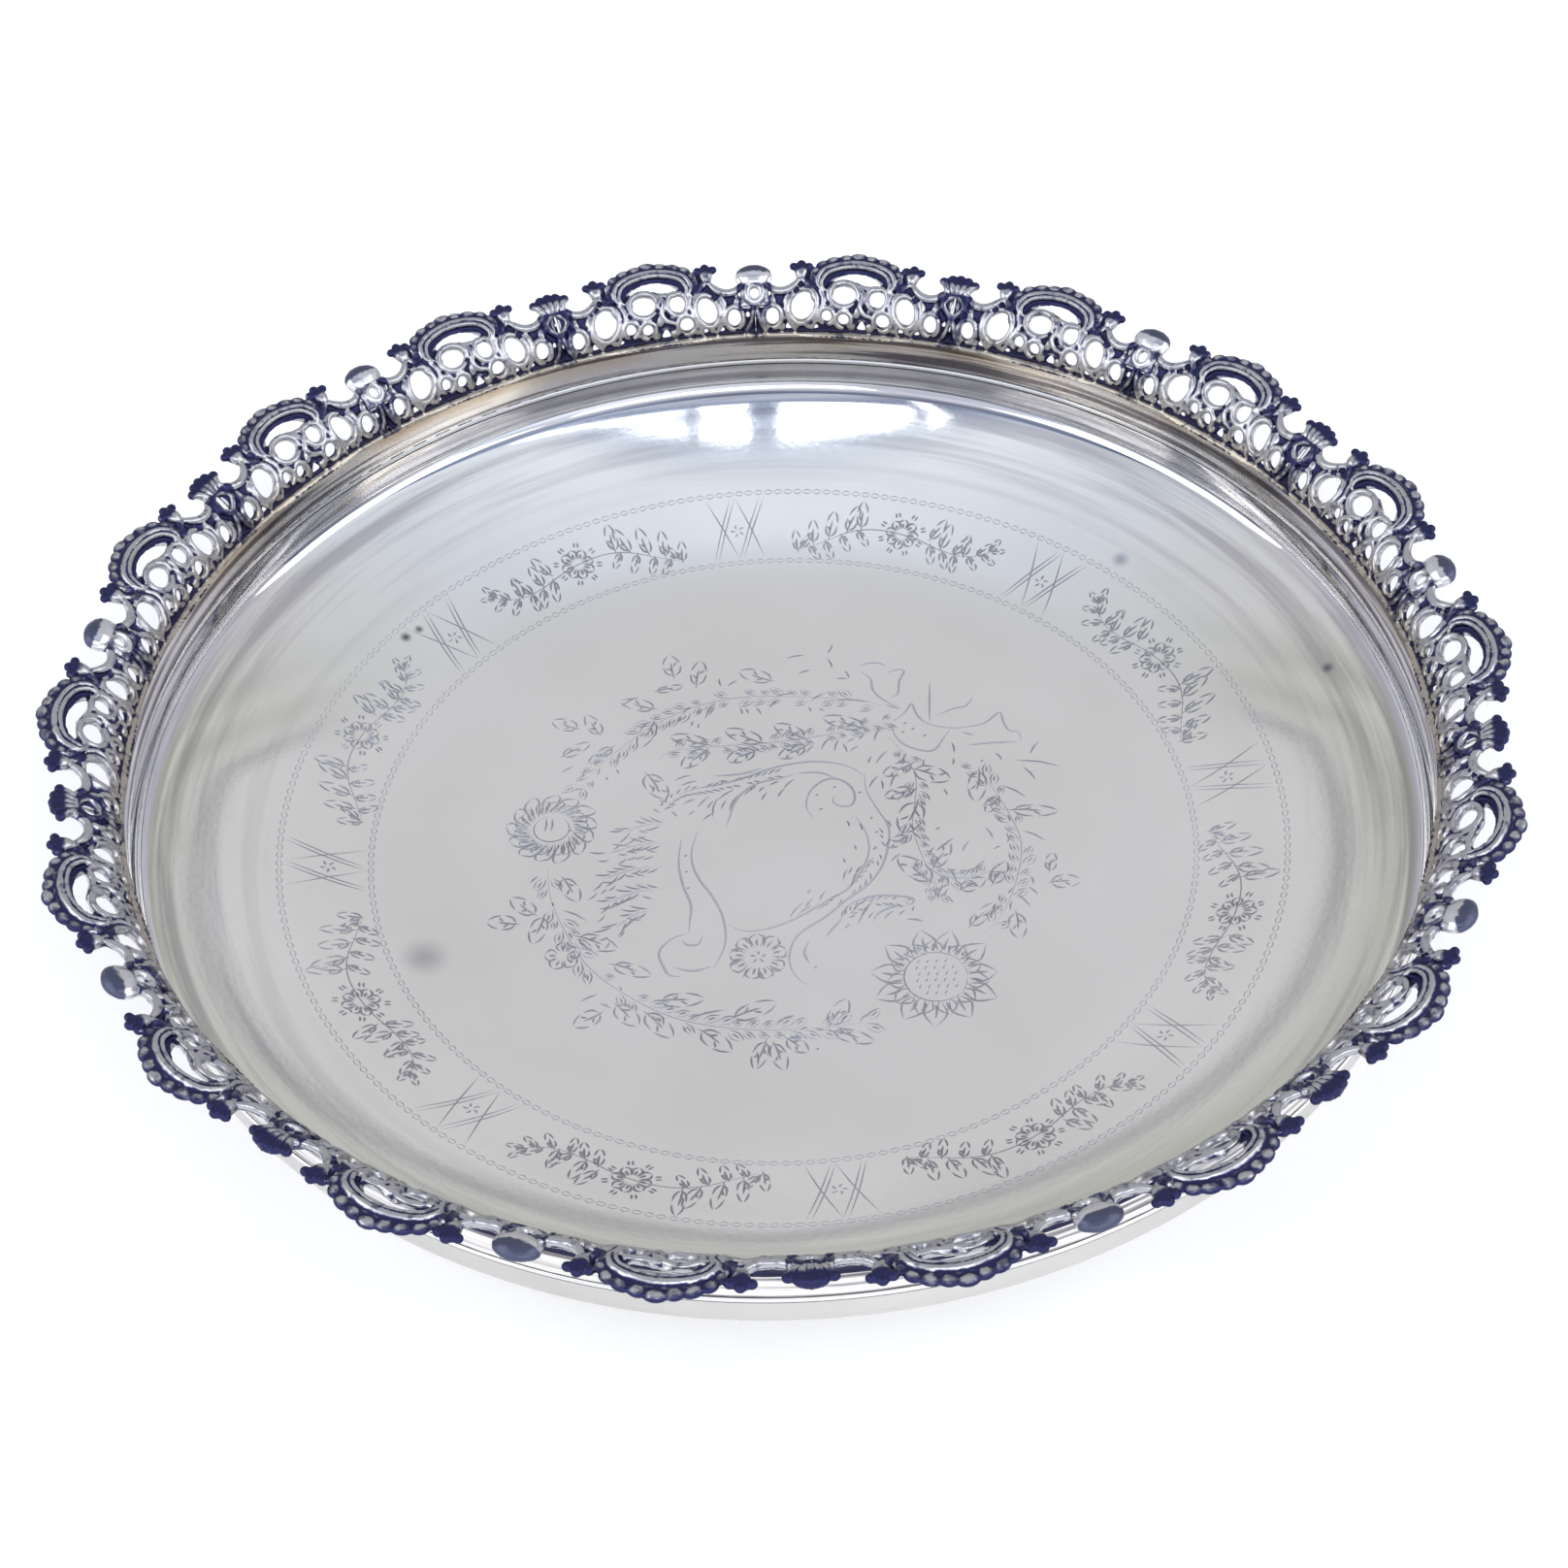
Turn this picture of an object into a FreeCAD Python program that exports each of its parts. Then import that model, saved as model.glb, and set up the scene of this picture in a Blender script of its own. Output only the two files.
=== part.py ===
import FreeCAD, Part
import math
import os
import Sketcher

# A round silver tray with a deep raised side and a pierced cast gallery round its rim.
# Frame: millimetres, +Z up, origin on the table under the middle of the tray, -Y is the front.

os.makedirs("parts", exist_ok=True)
doc = FreeCAD.newDocument("silver_salver")

DRIVING_SIZES = [
    ("sheet_thickness", "1.2", "raised silver sheet of the dish and the collar"),
    ("floor_radius", "72.5", "flat middle of the floor"),
    ("floor_curve", "94", "radius of the curve that lifts the engraved band"),
    ("bouge_slope", "18.3", "slope in degrees where the curve meets the bouge"),
    ("bouge_rise", "24", "slope in degrees at the foot of the wall"),
    ("wall_radius", "143.3", "inner face of the upright wall"),
    ("corner_radius", "4", "inside corner between bouge and wall"),
    ("seam_bottom", "29.3", "top edge of the raised dish wall"),
    ("seam_height", "1.2", "height of the reeded wire on the seam"),
    ("seam_proud", "0.45", "how far the reeded wire stands off each face"),
    ("rail_bottom", "37.4", "top edge of the collar, where the castings stand"),
    ("rail_height", "1.5", "height of the rail under each casting"),
    ("rail_width", "2.6", "radial width of the rail"),
    ("gallery_base", "38.4", "height where the gallery starts to turn out"),
    ("gallery_reach", "16.6", "radial reach of the turned-out gallery"),
    ("gallery_rise", "12.9", "height gained by the turned-out gallery"),
    ("gallery_metal", "2", "thickness of the cast openwork"),
    ("gallery_middle", "143.9", "radius of the middle of the casting at its foot"),
    ("pattern_radius", "150", "radius on which pattern widths are measured"),
    ("section_angle", "40", "angle of one casting, in degrees"),
    ("arch_angle", "20", "angle from one arch to the next, in degrees"),
    ("first_joint", "91.18", "direction of the first joint between castings, in degrees"),
    ("joint_half_width", "4.1", "half the width of a finial that covers a joint"),
    ("joint_seat", "7", "distance up the casting at which the covering finial sits"),
    ("arch_band_relief", "1.5", "height of the polished arch above the openwork"),
    ("swag_relief", "1.1", "height of the polished swags, knobs and finial heads"),
    ("crest_relief", "0.6", "height of the scalloped crest above the openwork"),
    ("joint_strip_angle", "8", "angle of the strip a joint finial is cut from"),
    ("cut_depth", "26", "length of the cuts through the openwork"),
]

DERIVED_SIZES = [
    ("floor_top", "=sheet_thickness"),
    ("curve_centre", "=floor_top + floor_curve"),
    ("bouge_start", "=floor_radius + floor_curve * sin(bouge_slope * 1deg)"),
    ("bouge_start_top", "=curve_centre - floor_curve * cos(bouge_slope * 1deg)"),
    ("corner_centre", "=wall_radius - corner_radius"),
    ("bouge_end", "=corner_centre + corner_radius * sin(bouge_rise * 1deg)"),
    ("bouge_curve", "=(bouge_end - bouge_start) / (sin(bouge_rise * 1deg) - sin(bouge_slope * 1deg))"),
    ("bouge_end_top",
     "=bouge_start_top + bouge_curve * (cos(bouge_slope * 1deg) - cos(bouge_rise * 1deg))"),
    ("corner_height", "=bouge_end_top + corner_radius * cos(bouge_rise * 1deg)"),
    ("wall_outside", "=wall_radius + sheet_thickness"),
    ("gallery_centre", "=gallery_middle + gallery_reach"),
]

sheet = doc.addObject("Spreadsheet::Sheet", "dims")
row = 0
for alias, value, meaning in DRIVING_SIZES:
    row += 1
    sheet.set("A%d" % row, alias)
    sheet.set("B%d" % row, value)
    sheet.set("C%d" % row, meaning)
    sheet.setAlias("B%d" % row, alias)
for alias, formula in DERIVED_SIZES:
    row += 1
    sheet.set("A%d" % row, alias)
    sheet.set("B%d" % row, formula)
    sheet.setAlias("B%d" % row, alias)
doc.recompute()


def size(expression):
    """The value of an expression written in the sheet's names."""
    value = sheet.evalExpression(expression)
    return float(getattr(value, "Value", value))


def plane_of(body, role):
    return [f for f in body.Origin.OriginFeatures if f.Role == role][0]


def add_sketch(body, name, role="XZ_Plane", offset=None):
    sketch = body.newObject("Sketcher::SketchObject", name)
    sketch.AttachmentSupport = [(plane_of(body, role), "")]
    sketch.MapMode = "FlatFace"
    if offset is not None:
        sketch.AttachmentOffset = offset
    return sketch


def join(sketch, one_end, other_end):
    """Each end is the number of a line and which end of it is meant."""
    sketch.addConstraint(Sketcher.Constraint("Coincident", *one_end, *other_end))


def in_dims(expression):
    """The same expression with every sheet name written as dims.name."""
    words = [alias for alias, _, _ in DRIVING_SIZES] + [alias for alias, _ in DERIVED_SIZES]
    text = ""
    word = ""
    for letter in expression + " ":
        if letter.isalnum() or letter == "_":
            word += letter
            continue
        text += "dims." + word if word in words else word
        text += letter
        word = ""
    return text.strip()


def bound_profile(body, name, corners, curves):
    """A closed outline in the XZ plane. corners are pairs of expressions, and curves[i] is None for
    a straight side after corner i, or (radius expression, turn), turn being +1 for a curve that
    runs counter-clockwise and -1 for one that runs clockwise."""
    sketch = add_sketch(body, name)
    points = [FreeCAD.Vector(size(x), size(z), 0) for x, z in corners]
    count = len(points)
    for i in range(count):
        start = points[i]
        end = points[(i + 1) % count]
        if curves[i] is None:
            sketch.addGeometry(Part.LineSegment(start, end))
            continue
        radius = size(curves[i][0])
        turn = curves[i][1]
        chord = end - start
        middle = (start + end) * 0.5
        left = FreeCAD.Vector(-chord.y, chord.x, 0).normalize()
        apothem = math.sqrt(radius ** 2 - (chord.Length / 2) ** 2)
        bulge = middle - left * ((radius - apothem) * turn)
        sketch.addGeometry(Part.Arc(start, bulge, end))
    ends = []
    for i in range(count):
        runs_back = curves[i] is not None and curves[i][1] < 0
        ends.append((2, 1) if runs_back else (1, 2))
    for i in range(count):
        following = (i + 1) % count
        join(sketch, (i, ends[i][1]), (following, ends[following][0]))
    for i in range(count):
        for kind, expression in (("DistanceX", corners[i][0]), ("DistanceY", corners[i][1])):
            if size(expression) == 0:
                axis = -2 if kind == "DistanceX" else -1
                sketch.addConstraint(Sketcher.Constraint("PointOnObject", i, ends[i][0], axis))
                continue
            place = Sketcher.Constraint(kind, -1, 1, i, ends[i][0], size(expression))
            index = sketch.addConstraint(place)
            sketch.setExpression("Constraints[%d]" % index, in_dims(expression))
    for i in range(count):
        if curves[i] is not None:
            index = sketch.addConstraint(Sketcher.Constraint("Radius", i, size(curves[i][0])))
            sketch.setExpression("Constraints[%d]" % index, in_dims(curves[i][0]))
    return sketch


def revolve(body, name, sketch, angle="360", midplane=False):
    feature = body.newObject("PartDesign::Revolution", name)
    feature.Profile = sketch
    feature.ReferenceAxis = (sketch, ["V_Axis"])
    feature.Midplane = midplane
    feature.setExpression("Angle", in_dims(angle))
    sketch.Visibility = False
    return feature


# ---------------------------------------------------------------- the raised dish

def add_dish():
    body = doc.addObject("PartDesign::Body", "dish")
    corners = [
        ("0", "0"),
        ("floor_radius", "0"),
        ("bouge_start + sheet_thickness * sin(bouge_slope * 1deg)",
         "bouge_start_top - sheet_thickness * cos(bouge_slope * 1deg)"),
        ("bouge_end + sheet_thickness * sin(bouge_rise * 1deg)",
         "bouge_end_top - sheet_thickness * cos(bouge_rise * 1deg)"),
        ("wall_outside", "corner_height"),
        ("wall_outside", "seam_bottom"),
        ("wall_radius", "seam_bottom"),
        ("wall_radius", "corner_height"),
        ("bouge_end", "bouge_end_top"),
        ("bouge_start", "bouge_start_top"),
        ("floor_radius", "floor_top"),
        ("0", "floor_top"),
    ]
    curves = [
        None,
        ("floor_curve + sheet_thickness", 1),
        ("bouge_curve + sheet_thickness", 1),
        ("corner_radius + sheet_thickness", 1),
        None,
        None,
        None,
        ("corner_radius", -1),
        ("bouge_curve", -1),
        ("floor_curve", -1),
        None,
        None,
    ]
    revolve(body, "dish_sheet", bound_profile(body, "dish_profile", corners, curves))
    return body


# ---------------------------------------------------------------- the reeded wire on the seam

def add_seam_wire():
    body = doc.addObject("PartDesign::Body", "seam_wire")
    inside = "wall_radius - seam_proud"
    outside = "wall_outside + seam_proud"
    top = "seam_bottom + seam_height"
    middle = "seam_bottom + seam_height / 2"
    corners = [
        ("wall_radius", "seam_bottom"),
        ("wall_outside", "seam_bottom"),
        (outside, "seam_bottom + seam_height * 0.22"),
        ("wall_outside + seam_proud * 0.35", middle),
        (outside, "seam_bottom + seam_height * 0.78"),
        ("wall_outside", top),
        ("wall_radius", top),
        (inside, "seam_bottom + seam_height * 0.78"),
        ("wall_radius - seam_proud * 0.35", middle),
        (inside, "seam_bottom + seam_height * 0.22"),
    ]
    revolve(body, "wire_ring", bound_profile(body, "wire_profile", corners, [None] * len(corners)))
    return body


# ---------------------------------------------------------------- the plain collar

def add_collar():
    body = doc.addObject("PartDesign::Body", "gallery_collar")
    bottom = "seam_bottom + seam_height"
    corners = [
        ("wall_radius", bottom),
        ("wall_outside", bottom),
        ("wall_outside", "rail_bottom"),
        ("wall_radius", "rail_bottom"),
    ]
    revolve(body, "collar_band", bound_profile(body, "collar_profile", corners, [None] * 4))
    return body


# ---------------------------------------------------------------- the pierced cast gallery
# The castings turn out from upright to level on a quarter ellipse. The pattern is drawn on that
# surface: across is the distance along the rim from the middle of an arch, and rise is the
# distance up the surface from its foot.

REACH = size("gallery_reach")
RISE = size("gallery_rise")
PATTERN_RADIUS = size("pattern_radius")
QUARTER_LENGTH = math.pi / 2 * math.sqrt((REACH ** 2 + RISE ** 2) / 2)


def gallery_turn(rise):
    """How far round the quarter ellipse, in radians, a point at this rise lies."""
    turn = 0.0
    travelled = 0.0
    step = 0.002
    while travelled < rise:
        travelled += math.hypot(REACH * math.sin(turn), RISE * math.cos(turn)) * step
        turn += step
    return min(turn, math.pi / 2)


def gallery_point(middle_angle, across, rise):
    """A point of the middle surface of the gallery, carried on level past its edge."""
    turn = gallery_turn(rise)
    past_edge = max(rise - QUARTER_LENGTH, 0)
    radius = size("gallery_centre") - REACH * math.cos(turn) + past_edge
    height = size("gallery_base") + RISE * math.sin(turn) + min(rise, 0)
    angle = math.radians(middle_angle) + across / PATTERN_RADIUS
    return FreeCAD.Vector(radius * math.cos(angle), radius * math.sin(angle), height)


class PatternPlane:
    """A plane that touches the gallery at one place, seen from inside the tray and above."""

    def __init__(self, middle_angle, rise):
        toward = math.radians(middle_angle)
        radial = FreeCAD.Vector(math.cos(toward), math.sin(toward), 0)
        up = FreeCAD.Vector(0, 0, 1)
        turn = gallery_turn(rise)
        tilt = math.atan2(REACH * math.sin(turn), RISE * math.cos(turn))
        self.middle_angle = middle_angle
        self.origin = gallery_point(middle_angle, 0, rise)
        self.slope = radial * math.sin(tilt) + up * math.cos(tilt)
        self.facing = up * math.sin(tilt) - radial * math.cos(tilt)
        self.along = self.slope.cross(self.facing)
        rotation = FreeCAD.Rotation(self.along, self.slope, self.facing, "ZXY")
        self.placement = FreeCAD.Placement(self.origin, rotation)

    def flat(self, across, rise):
        """Pattern coordinates as coordinates in this plane."""
        # the plane's own first axis runs clockwise round the tray
        away = gallery_point(self.middle_angle, -across, rise) - self.origin
        return FreeCAD.Vector(away.dot(self.along), away.dot(self.slope), 0)


def pattern_sketch(body, name, plane, outlines):
    """outlines is a list of closed outlines. Each is a list of (across, rise) with a bulge for the
    side that follows: 0 is straight, and another value is the height of that side's arc."""
    sketch = add_sketch(body, name, "XY_Plane", plane.placement)
    for outline in outlines:
        first = None
        previous = None
        count = len(outline)
        for i in range(count):
            across, rise, bulge = outline[i]
            next_across, next_rise, _ = outline[(i + 1) % count]
            start = plane.flat(across, rise)
            end = plane.flat(next_across, next_rise)
            if bulge == 0:
                index = sketch.addGeometry(Part.LineSegment(start, end))
                ends = (1, 2)
            else:
                chord = end - start
                right = FreeCAD.Vector(chord.y, -chord.x, 0).normalize()
                arc = Part.Arc(start, (start + end) * 0.5 + right * bulge, end)
                index = sketch.addGeometry(arc)
                ends = (1, 2) if bulge > 0 else (2, 1)
            if previous is None:
                first = (index, ends[0])
            else:
                join(sketch, previous, (index, ends[0]))
            previous = (index, ends[1])
        join(sketch, previous, first)
    sketch.Visibility = False
    return sketch


def cut_through(body, name, sketch):
    feature = body.newObject("PartDesign::Pocket", name)
    feature.Profile = sketch
    feature.Midplane = True
    feature.setExpression("Length", "dims.cut_depth")
    return feature


def raise_band(body, name, sketch, relief):
    feature = body.newObject("PartDesign::Pad", name)
    feature.Profile = sketch
    feature.setExpression("Length", "dims.gallery_metal / 2 + dims.%s" % relief)
    return feature


HALF_PITCH = math.radians(size("arch_angle") / 2) * PATTERN_RADIUS
SEAT = size("joint_seat")
SEAT_WIDTH = size("joint_half_width")
PAST_EDGE = 33.0


def mirrored(outline):
    """The mirror image of an outline, walked so that it still closes the same way round."""
    image = []
    count = len(outline)
    for i in range(count):
        across, rise, _ = outline[-i]
        bulge = outline[(-i - 1) % count][2]
        image.append((-across, rise, bulge))
    return image


def oval(across, rise, half_width, half_height, lean=0.0):
    """A rounded opening made of four arcs, leaning clockwise by lean degrees."""
    outline = []
    turn = math.radians(-lean)
    for i in range(4):
        angle = math.radians(90 * i)
        dx = half_width * math.cos(angle)
        dy = half_height * math.sin(angle)
        x = across + dx * math.cos(turn) - dy * math.sin(turn)
        y = rise + dx * math.sin(turn) + dy * math.cos(turn)
        outline.append((x, y, 0.146 * (half_width + half_height)))
    return outline


def triangle(across, rise, half_width, height):
    return [
        (across - half_width, rise, 0),
        (across + half_width, rise, 0),
        (across, rise + height, 0),
    ]


FINIAL_HALF = [(2.98, 13.6, 0.4), (3.7, 16.2, 0.35), (2.2, 18.2, 0.3)]
FINIAL_TOP = (0, 18.9, 0.35)


def top_edge():
    """The metal above one arch's scalloped edge, from the finial on its left to the one on its right."""
    right = [
        (2.4, 21.4, -0.7),
        (6.2, 19.9, -0.7),
        (9.1, 17.4, -0.7),
        (11.2, 14.3, -0.4),
        (12.2, 18.0, -0.6),
        (14.2, 19.9, -0.6),
        (16.1, 17.9, -0.5),
        (15.5, 14.2, 1.1),
        (19.2, 11.4, 1.1),
    ]
    right += [(HALF_PITCH - across, rise, -bulge) for across, rise, bulge in FINIAL_HALF]
    left = []
    for i in range(len(right) - 1, -1, -1):
        bulge = right[i - 1][2] if i > 0 else -1.3
        left.append((-right[i][0], right[i][1], bulge))
    start = [(-HALF_PITCH, FINIAL_TOP[1], -FINIAL_TOP[2])]
    finish = [
        (HALF_PITCH, FINIAL_TOP[1], 0),
        (HALF_PITCH * 1.06, PAST_EDGE, 0),
        (-HALF_PITCH * 1.06, PAST_EDGE, 0),
    ]
    return start + left + right + finish


# openings through one arch, as seen from inside the tray
UPPER_OPENINGS = [
    oval(-13.6, 7.2, 2.6, 3.4, 20),
    oval(13.6, 7.0, 2.3, 3.2, -18),
    oval(-2.7, 10.2, 3.1, 2.3),
    oval(5.8, 9.5, 2.0, 2.2),
]
LOWER_OPENINGS = [
    oval(-21.8, 4.6, 1.6, 1.9),
    oval(20.4, 4.6, 1.6, 1.9),
    oval(-7.0, 4.6, 1.3, 1.5),
    oval(-2.8, 3.9, 1.4, 1.4),
    oval(7.9, 4.0, 1.8, 1.5),
    oval(-24.1, 6.3, 0.55, 1.9),
    oval(24.1, 6.3, 0.55, 1.9),
]
CRESCENT = [(-6.4, 13.5, -3.1), (6.4, 13.5, 1.1)]
FOOT_GAPS = [
    triangle(-17.2, 1.2, 1.5, 2.0),
    triangle(-10.2, 1.2, 1.2, 1.6),
    triangle(2.2, 1.2, 1.5, 2.4),
    triangle(12.6, 1.2, 1.3, 1.6),
    triangle(17.0, 1.2, 1.2, 1.8),
]
LOZENGE = [(0, 7.9, 0), (1.9, 10.3, 0), (0, 12.7, 0), (-1.9, 10.3, 0)]

ARCH_BAND = [
    (-10.7, 12.5, -0.5),
    (-7.9, 16.6, -0.8),
    (0, 19.0, -0.8),
    (7.9, 16.6, -0.5),
    (10.7, 12.5, 0),
    (9.1, 12.1, 0.4),
    (6.6, 15.2, 0.6),
    (0, 17.3, 0.6),
    (-6.6, 15.2, 0.4),
    (-9.1, 12.1, 0),
]
CREST_FIELD = [
    (-10.9, 14.4, -0.5),
    (-8.4, 17.4, -0.9),
    (0, 20.0, -0.9),
    (8.4, 17.4, -0.5),
    (10.9, 14.4, 0),
    (12.5, 19.0, 0),
    (6.0, 25.0, 0),
    (-6.0, 25.0, 0),
    (-12.5, 19.0, 0),
]

# the U between a knob and a finial, and the knob beside it, measured from the bottom of the U
SWAG_MIDDLE = 19.2
SWAG_BAND = [
    (-3.5, 14.1, 0.5),
    (-2.2, 12.3, 0.4),
    (0, 11.5, 0.4),
    (2.4, 12.2, 0.4),
    (3.6, 13.5, 0),
    (4.6, 12.2, -0.3),
    (3.0, 10.6, -0.3),
    (0, 9.7, -0.4),
    (-3.2, 10.6, -0.4),
    (-4.9, 13.0, 0),
]
KNOB = oval(-5.0, 17.4, 1.9, 1.9)


def section_shell(body, angle):
    """The plain turned-out strip that a casting or a finial is cut from."""
    sketch = add_sketch(body, "strip_profile")
    middle = FreeCAD.Vector(size("gallery_centre"), size("gallery_base"), 0)
    faces = []
    for side in (1, -1):
        long_axis = REACH + side * size("gallery_metal") / 2
        short_axis = RISE + side * size("gallery_metal") / 2
        ellipse = Part.Ellipse(middle, long_axis, short_axis)
        faces.append(Part.ArcOfEllipse(ellipse, math.pi / 2, math.pi))
    upper = sketch.addGeometry(faces[0])
    lower = sketch.addGeometry(faces[1])
    tip = sketch.addGeometry(Part.LineSegment(faces[0].StartPoint, faces[1].StartPoint))
    foot = sketch.addGeometry(Part.LineSegment(faces[0].EndPoint, faces[1].EndPoint))
    sketch.addConstraint(Sketcher.Constraint("Coincident", upper, 1, tip, 1))
    sketch.addConstraint(Sketcher.Constraint("Coincident", lower, 1, tip, 2))
    sketch.addConstraint(Sketcher.Constraint("Coincident", upper, 2, foot, 1))
    sketch.addConstraint(Sketcher.Constraint("Coincident", lower, 2, foot, 2))
    sketch.addConstraint(Sketcher.Constraint("Coincident", upper, 3, lower, 3))
    sketch.addConstraint(Sketcher.Constraint("Horizontal", foot))
    sketch.addConstraint(Sketcher.Constraint("Vertical", tip))
    places = [
        ("DistanceX", -1, 1, upper, 3, "gallery_centre"),
        ("DistanceY", -1, 1, upper, 3, "gallery_base"),
        ("DistanceY", -1, 1, upper, 1, "gallery_base + gallery_rise + gallery_metal / 2"),
        ("DistanceY", -1, 1, lower, 1, "gallery_base + gallery_rise - gallery_metal / 2"),
        ("DistanceX", -1, 1, upper, 2, "gallery_middle - gallery_metal / 2"),
        ("DistanceX", -1, 1, lower, 2, "gallery_middle + gallery_metal / 2"),
    ]
    for kind, a, b, c, d, expression in places:
        index = sketch.addConstraint(Sketcher.Constraint(kind, a, b, c, d, size(expression)))
        sketch.setExpression("Constraints[%d]" % index, in_dims(expression))
    return revolve(body, "strip", sketch, angle, midplane=True)


def finial_outline():
    """The outline of a finial that covers a joint, down to its seat."""
    right = [(0, SEAT, 0), (SEAT_WIDTH, SEAT, 0), (SEAT_WIDTH, 12.3, 0)] + FINIAL_HALF
    left = [(-across, rise, 0) for across, rise, _ in reversed(right[1:])]
    bulges = [bulge for _, _, bulge in reversed(right[:-1])]
    left = [(across, rise, bulge) for (across, rise, _), bulge in zip(left, bulges)]
    return right + [FINIAL_TOP] + left


def add_rail(body):
    corners = [
        ("gallery_middle - rail_width / 2", "rail_bottom"),
        ("gallery_middle + rail_width / 2", "rail_bottom"),
        ("gallery_middle + rail_width / 2", "rail_bottom + rail_height"),
        ("gallery_middle - rail_width / 2", "rail_bottom + rail_height"),
    ]
    profile = bound_profile(body, "rail_profile", corners, [None] * 4)
    revolve(body, "rail", profile, "section_angle", midplane=True)


def add_section(number):
    """One casting: a rail, two pierced arches, and the finial between them. Its ends are cut back
    where the finials that cover the joints sit. Left and right are as seen from inside the tray."""
    body = doc.addObject("PartDesign::Body", "gallery_section_%d" % number)
    section_shell(body, "section_angle")
    add_rail(body)
    half_arch = size("arch_angle") / 2
    swag_angle = math.degrees(SWAG_MIDDLE / PATTERN_RADIUS)
    for side, word in ((-1, "right"), (1, "left")):
        arch = side * half_arch
        crest = pattern_sketch(body, word + "_crest_field", PatternPlane(arch, 19.0), [CREST_FIELD])
        raise_band(body, word + "_crest", crest, "crest_relief")
        band = pattern_sketch(body, word + "_arch_band", PatternPlane(arch, 15.6), [ARCH_BAND])
        raise_band(body, word + "_arch", band, "arch_band_relief")
        for hand, hand_word in ((-1, "outer"), (1, "inner")):
            name = "%s_%s_swag" % (word, hand_word)
            plane = PatternPlane(arch + side * hand * -swag_angle, 14.0)
            if side * hand > 0:
                shapes = [SWAG_BAND, KNOB]
            else:
                shapes = [mirrored(SWAG_BAND), mirrored(KNOB)]
            raise_band(body, name, pattern_sketch(body, name + "_outline", plane, shapes), "swag_relief")
    head = pattern_sketch(body, "finial_head_outline", PatternPlane(0, 16.2), [oval(0, 16.2, 2.9, 1.9)])
    raise_band(body, "finial_head", head, "swag_relief")
    for side, word in ((-1, "right"), (1, "left")):
        for level, rise, cuts in (
                ("upper", 12.0, [top_edge(), CRESCENT] + UPPER_OPENINGS),
                ("lower", 4.0, LOWER_OPENINGS + FOOT_GAPS)):
            plane = PatternPlane(side * half_arch, rise)
            openings = pattern_sketch(body, "%s_%s_openings" % (word, level), plane, cuts)
            cut_through(body, "%s_%s_piercing" % (word, level), openings)
    cut_through(body, "lozenge", pattern_sketch(body, "lozenge_outline", PatternPlane(0, 10.0), [LOZENGE]))
    for side, word in ((-1, "right"), (1, "left")):
        seat = [
            (-SEAT_WIDTH, SEAT, 0),
            (SEAT_WIDTH, SEAT, 0),
            (SEAT_WIDTH, PAST_EDGE, 0),
            (-SEAT_WIDTH, PAST_EDGE, 0),
        ]
        plane = PatternPlane(side * 2 * half_arch, 10.0)
        cut_through(body, word + "_seat", pattern_sketch(body, word + "_seat_outline", plane, [seat]))
    return body


def add_finial(number):
    """A finial soldered over the joint between two castings."""
    body = doc.addObject("PartDesign::Body", "joint_finial_%d" % number)
    section_shell(body, "joint_strip_angle")
    head = pattern_sketch(body, "head_outline", PatternPlane(0, 16.2), [oval(0, 16.2, 2.9, 1.9)])
    raise_band(body, "head", head, "swag_relief")
    around = [(-16, -6, 0), (16, -6, 0), (16, PAST_EDGE, 0), (-16, PAST_EDGE, 0)]
    plane = PatternPlane(0, 10.0)
    trim = pattern_sketch(body, "trim_outline", plane, [around, finial_outline()])
    cut_through(body, "trim", trim)
    cut_through(body, "lozenge", pattern_sketch(body, "lozenge_outline", plane, [LOZENGE]))
    return body


def turned(body, angle):
    """Turns a piece about the tray's axis to its place on the rim."""
    body.Placement = FreeCAD.Placement(
        FreeCAD.Vector(0, 0, 0), FreeCAD.Rotation(FreeCAD.Vector(0, 0, 1), angle))


SECTION_ANGLE = size("section_angle")
SECTION_COUNT = round(360 / SECTION_ANGLE)

bodies = [add_dish(), add_seam_wire(), add_collar()]
for i in range(SECTION_COUNT):
    joint = size("first_joint") - i * SECTION_ANGLE
    section = add_section(i + 1)
    turned(section, joint - SECTION_ANGLE / 2)
    finial = add_finial(i + 1)
    turned(finial, joint)
    bodies += [section, finial]
doc.recompute()

for o in doc.Objects:
    assert not {"Invalid", "Error"} & set(o.State), (o.Name, o.State)
for body in bodies:
    shape = body.Shape
    assert not shape.isNull() and shape.isValid(), body.Label
    assert len(shape.Solids) == 1, (body.Label, len(shape.Solids))
for body in bodies:
    body.Shape.exportStep(os.path.join("parts", body.Label + ".step"))
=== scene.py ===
import math

import bpy
import numpy as np
from mathutils import Matrix, Vector
from mathutils.geometry import delaunay_2d_cdt


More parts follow.
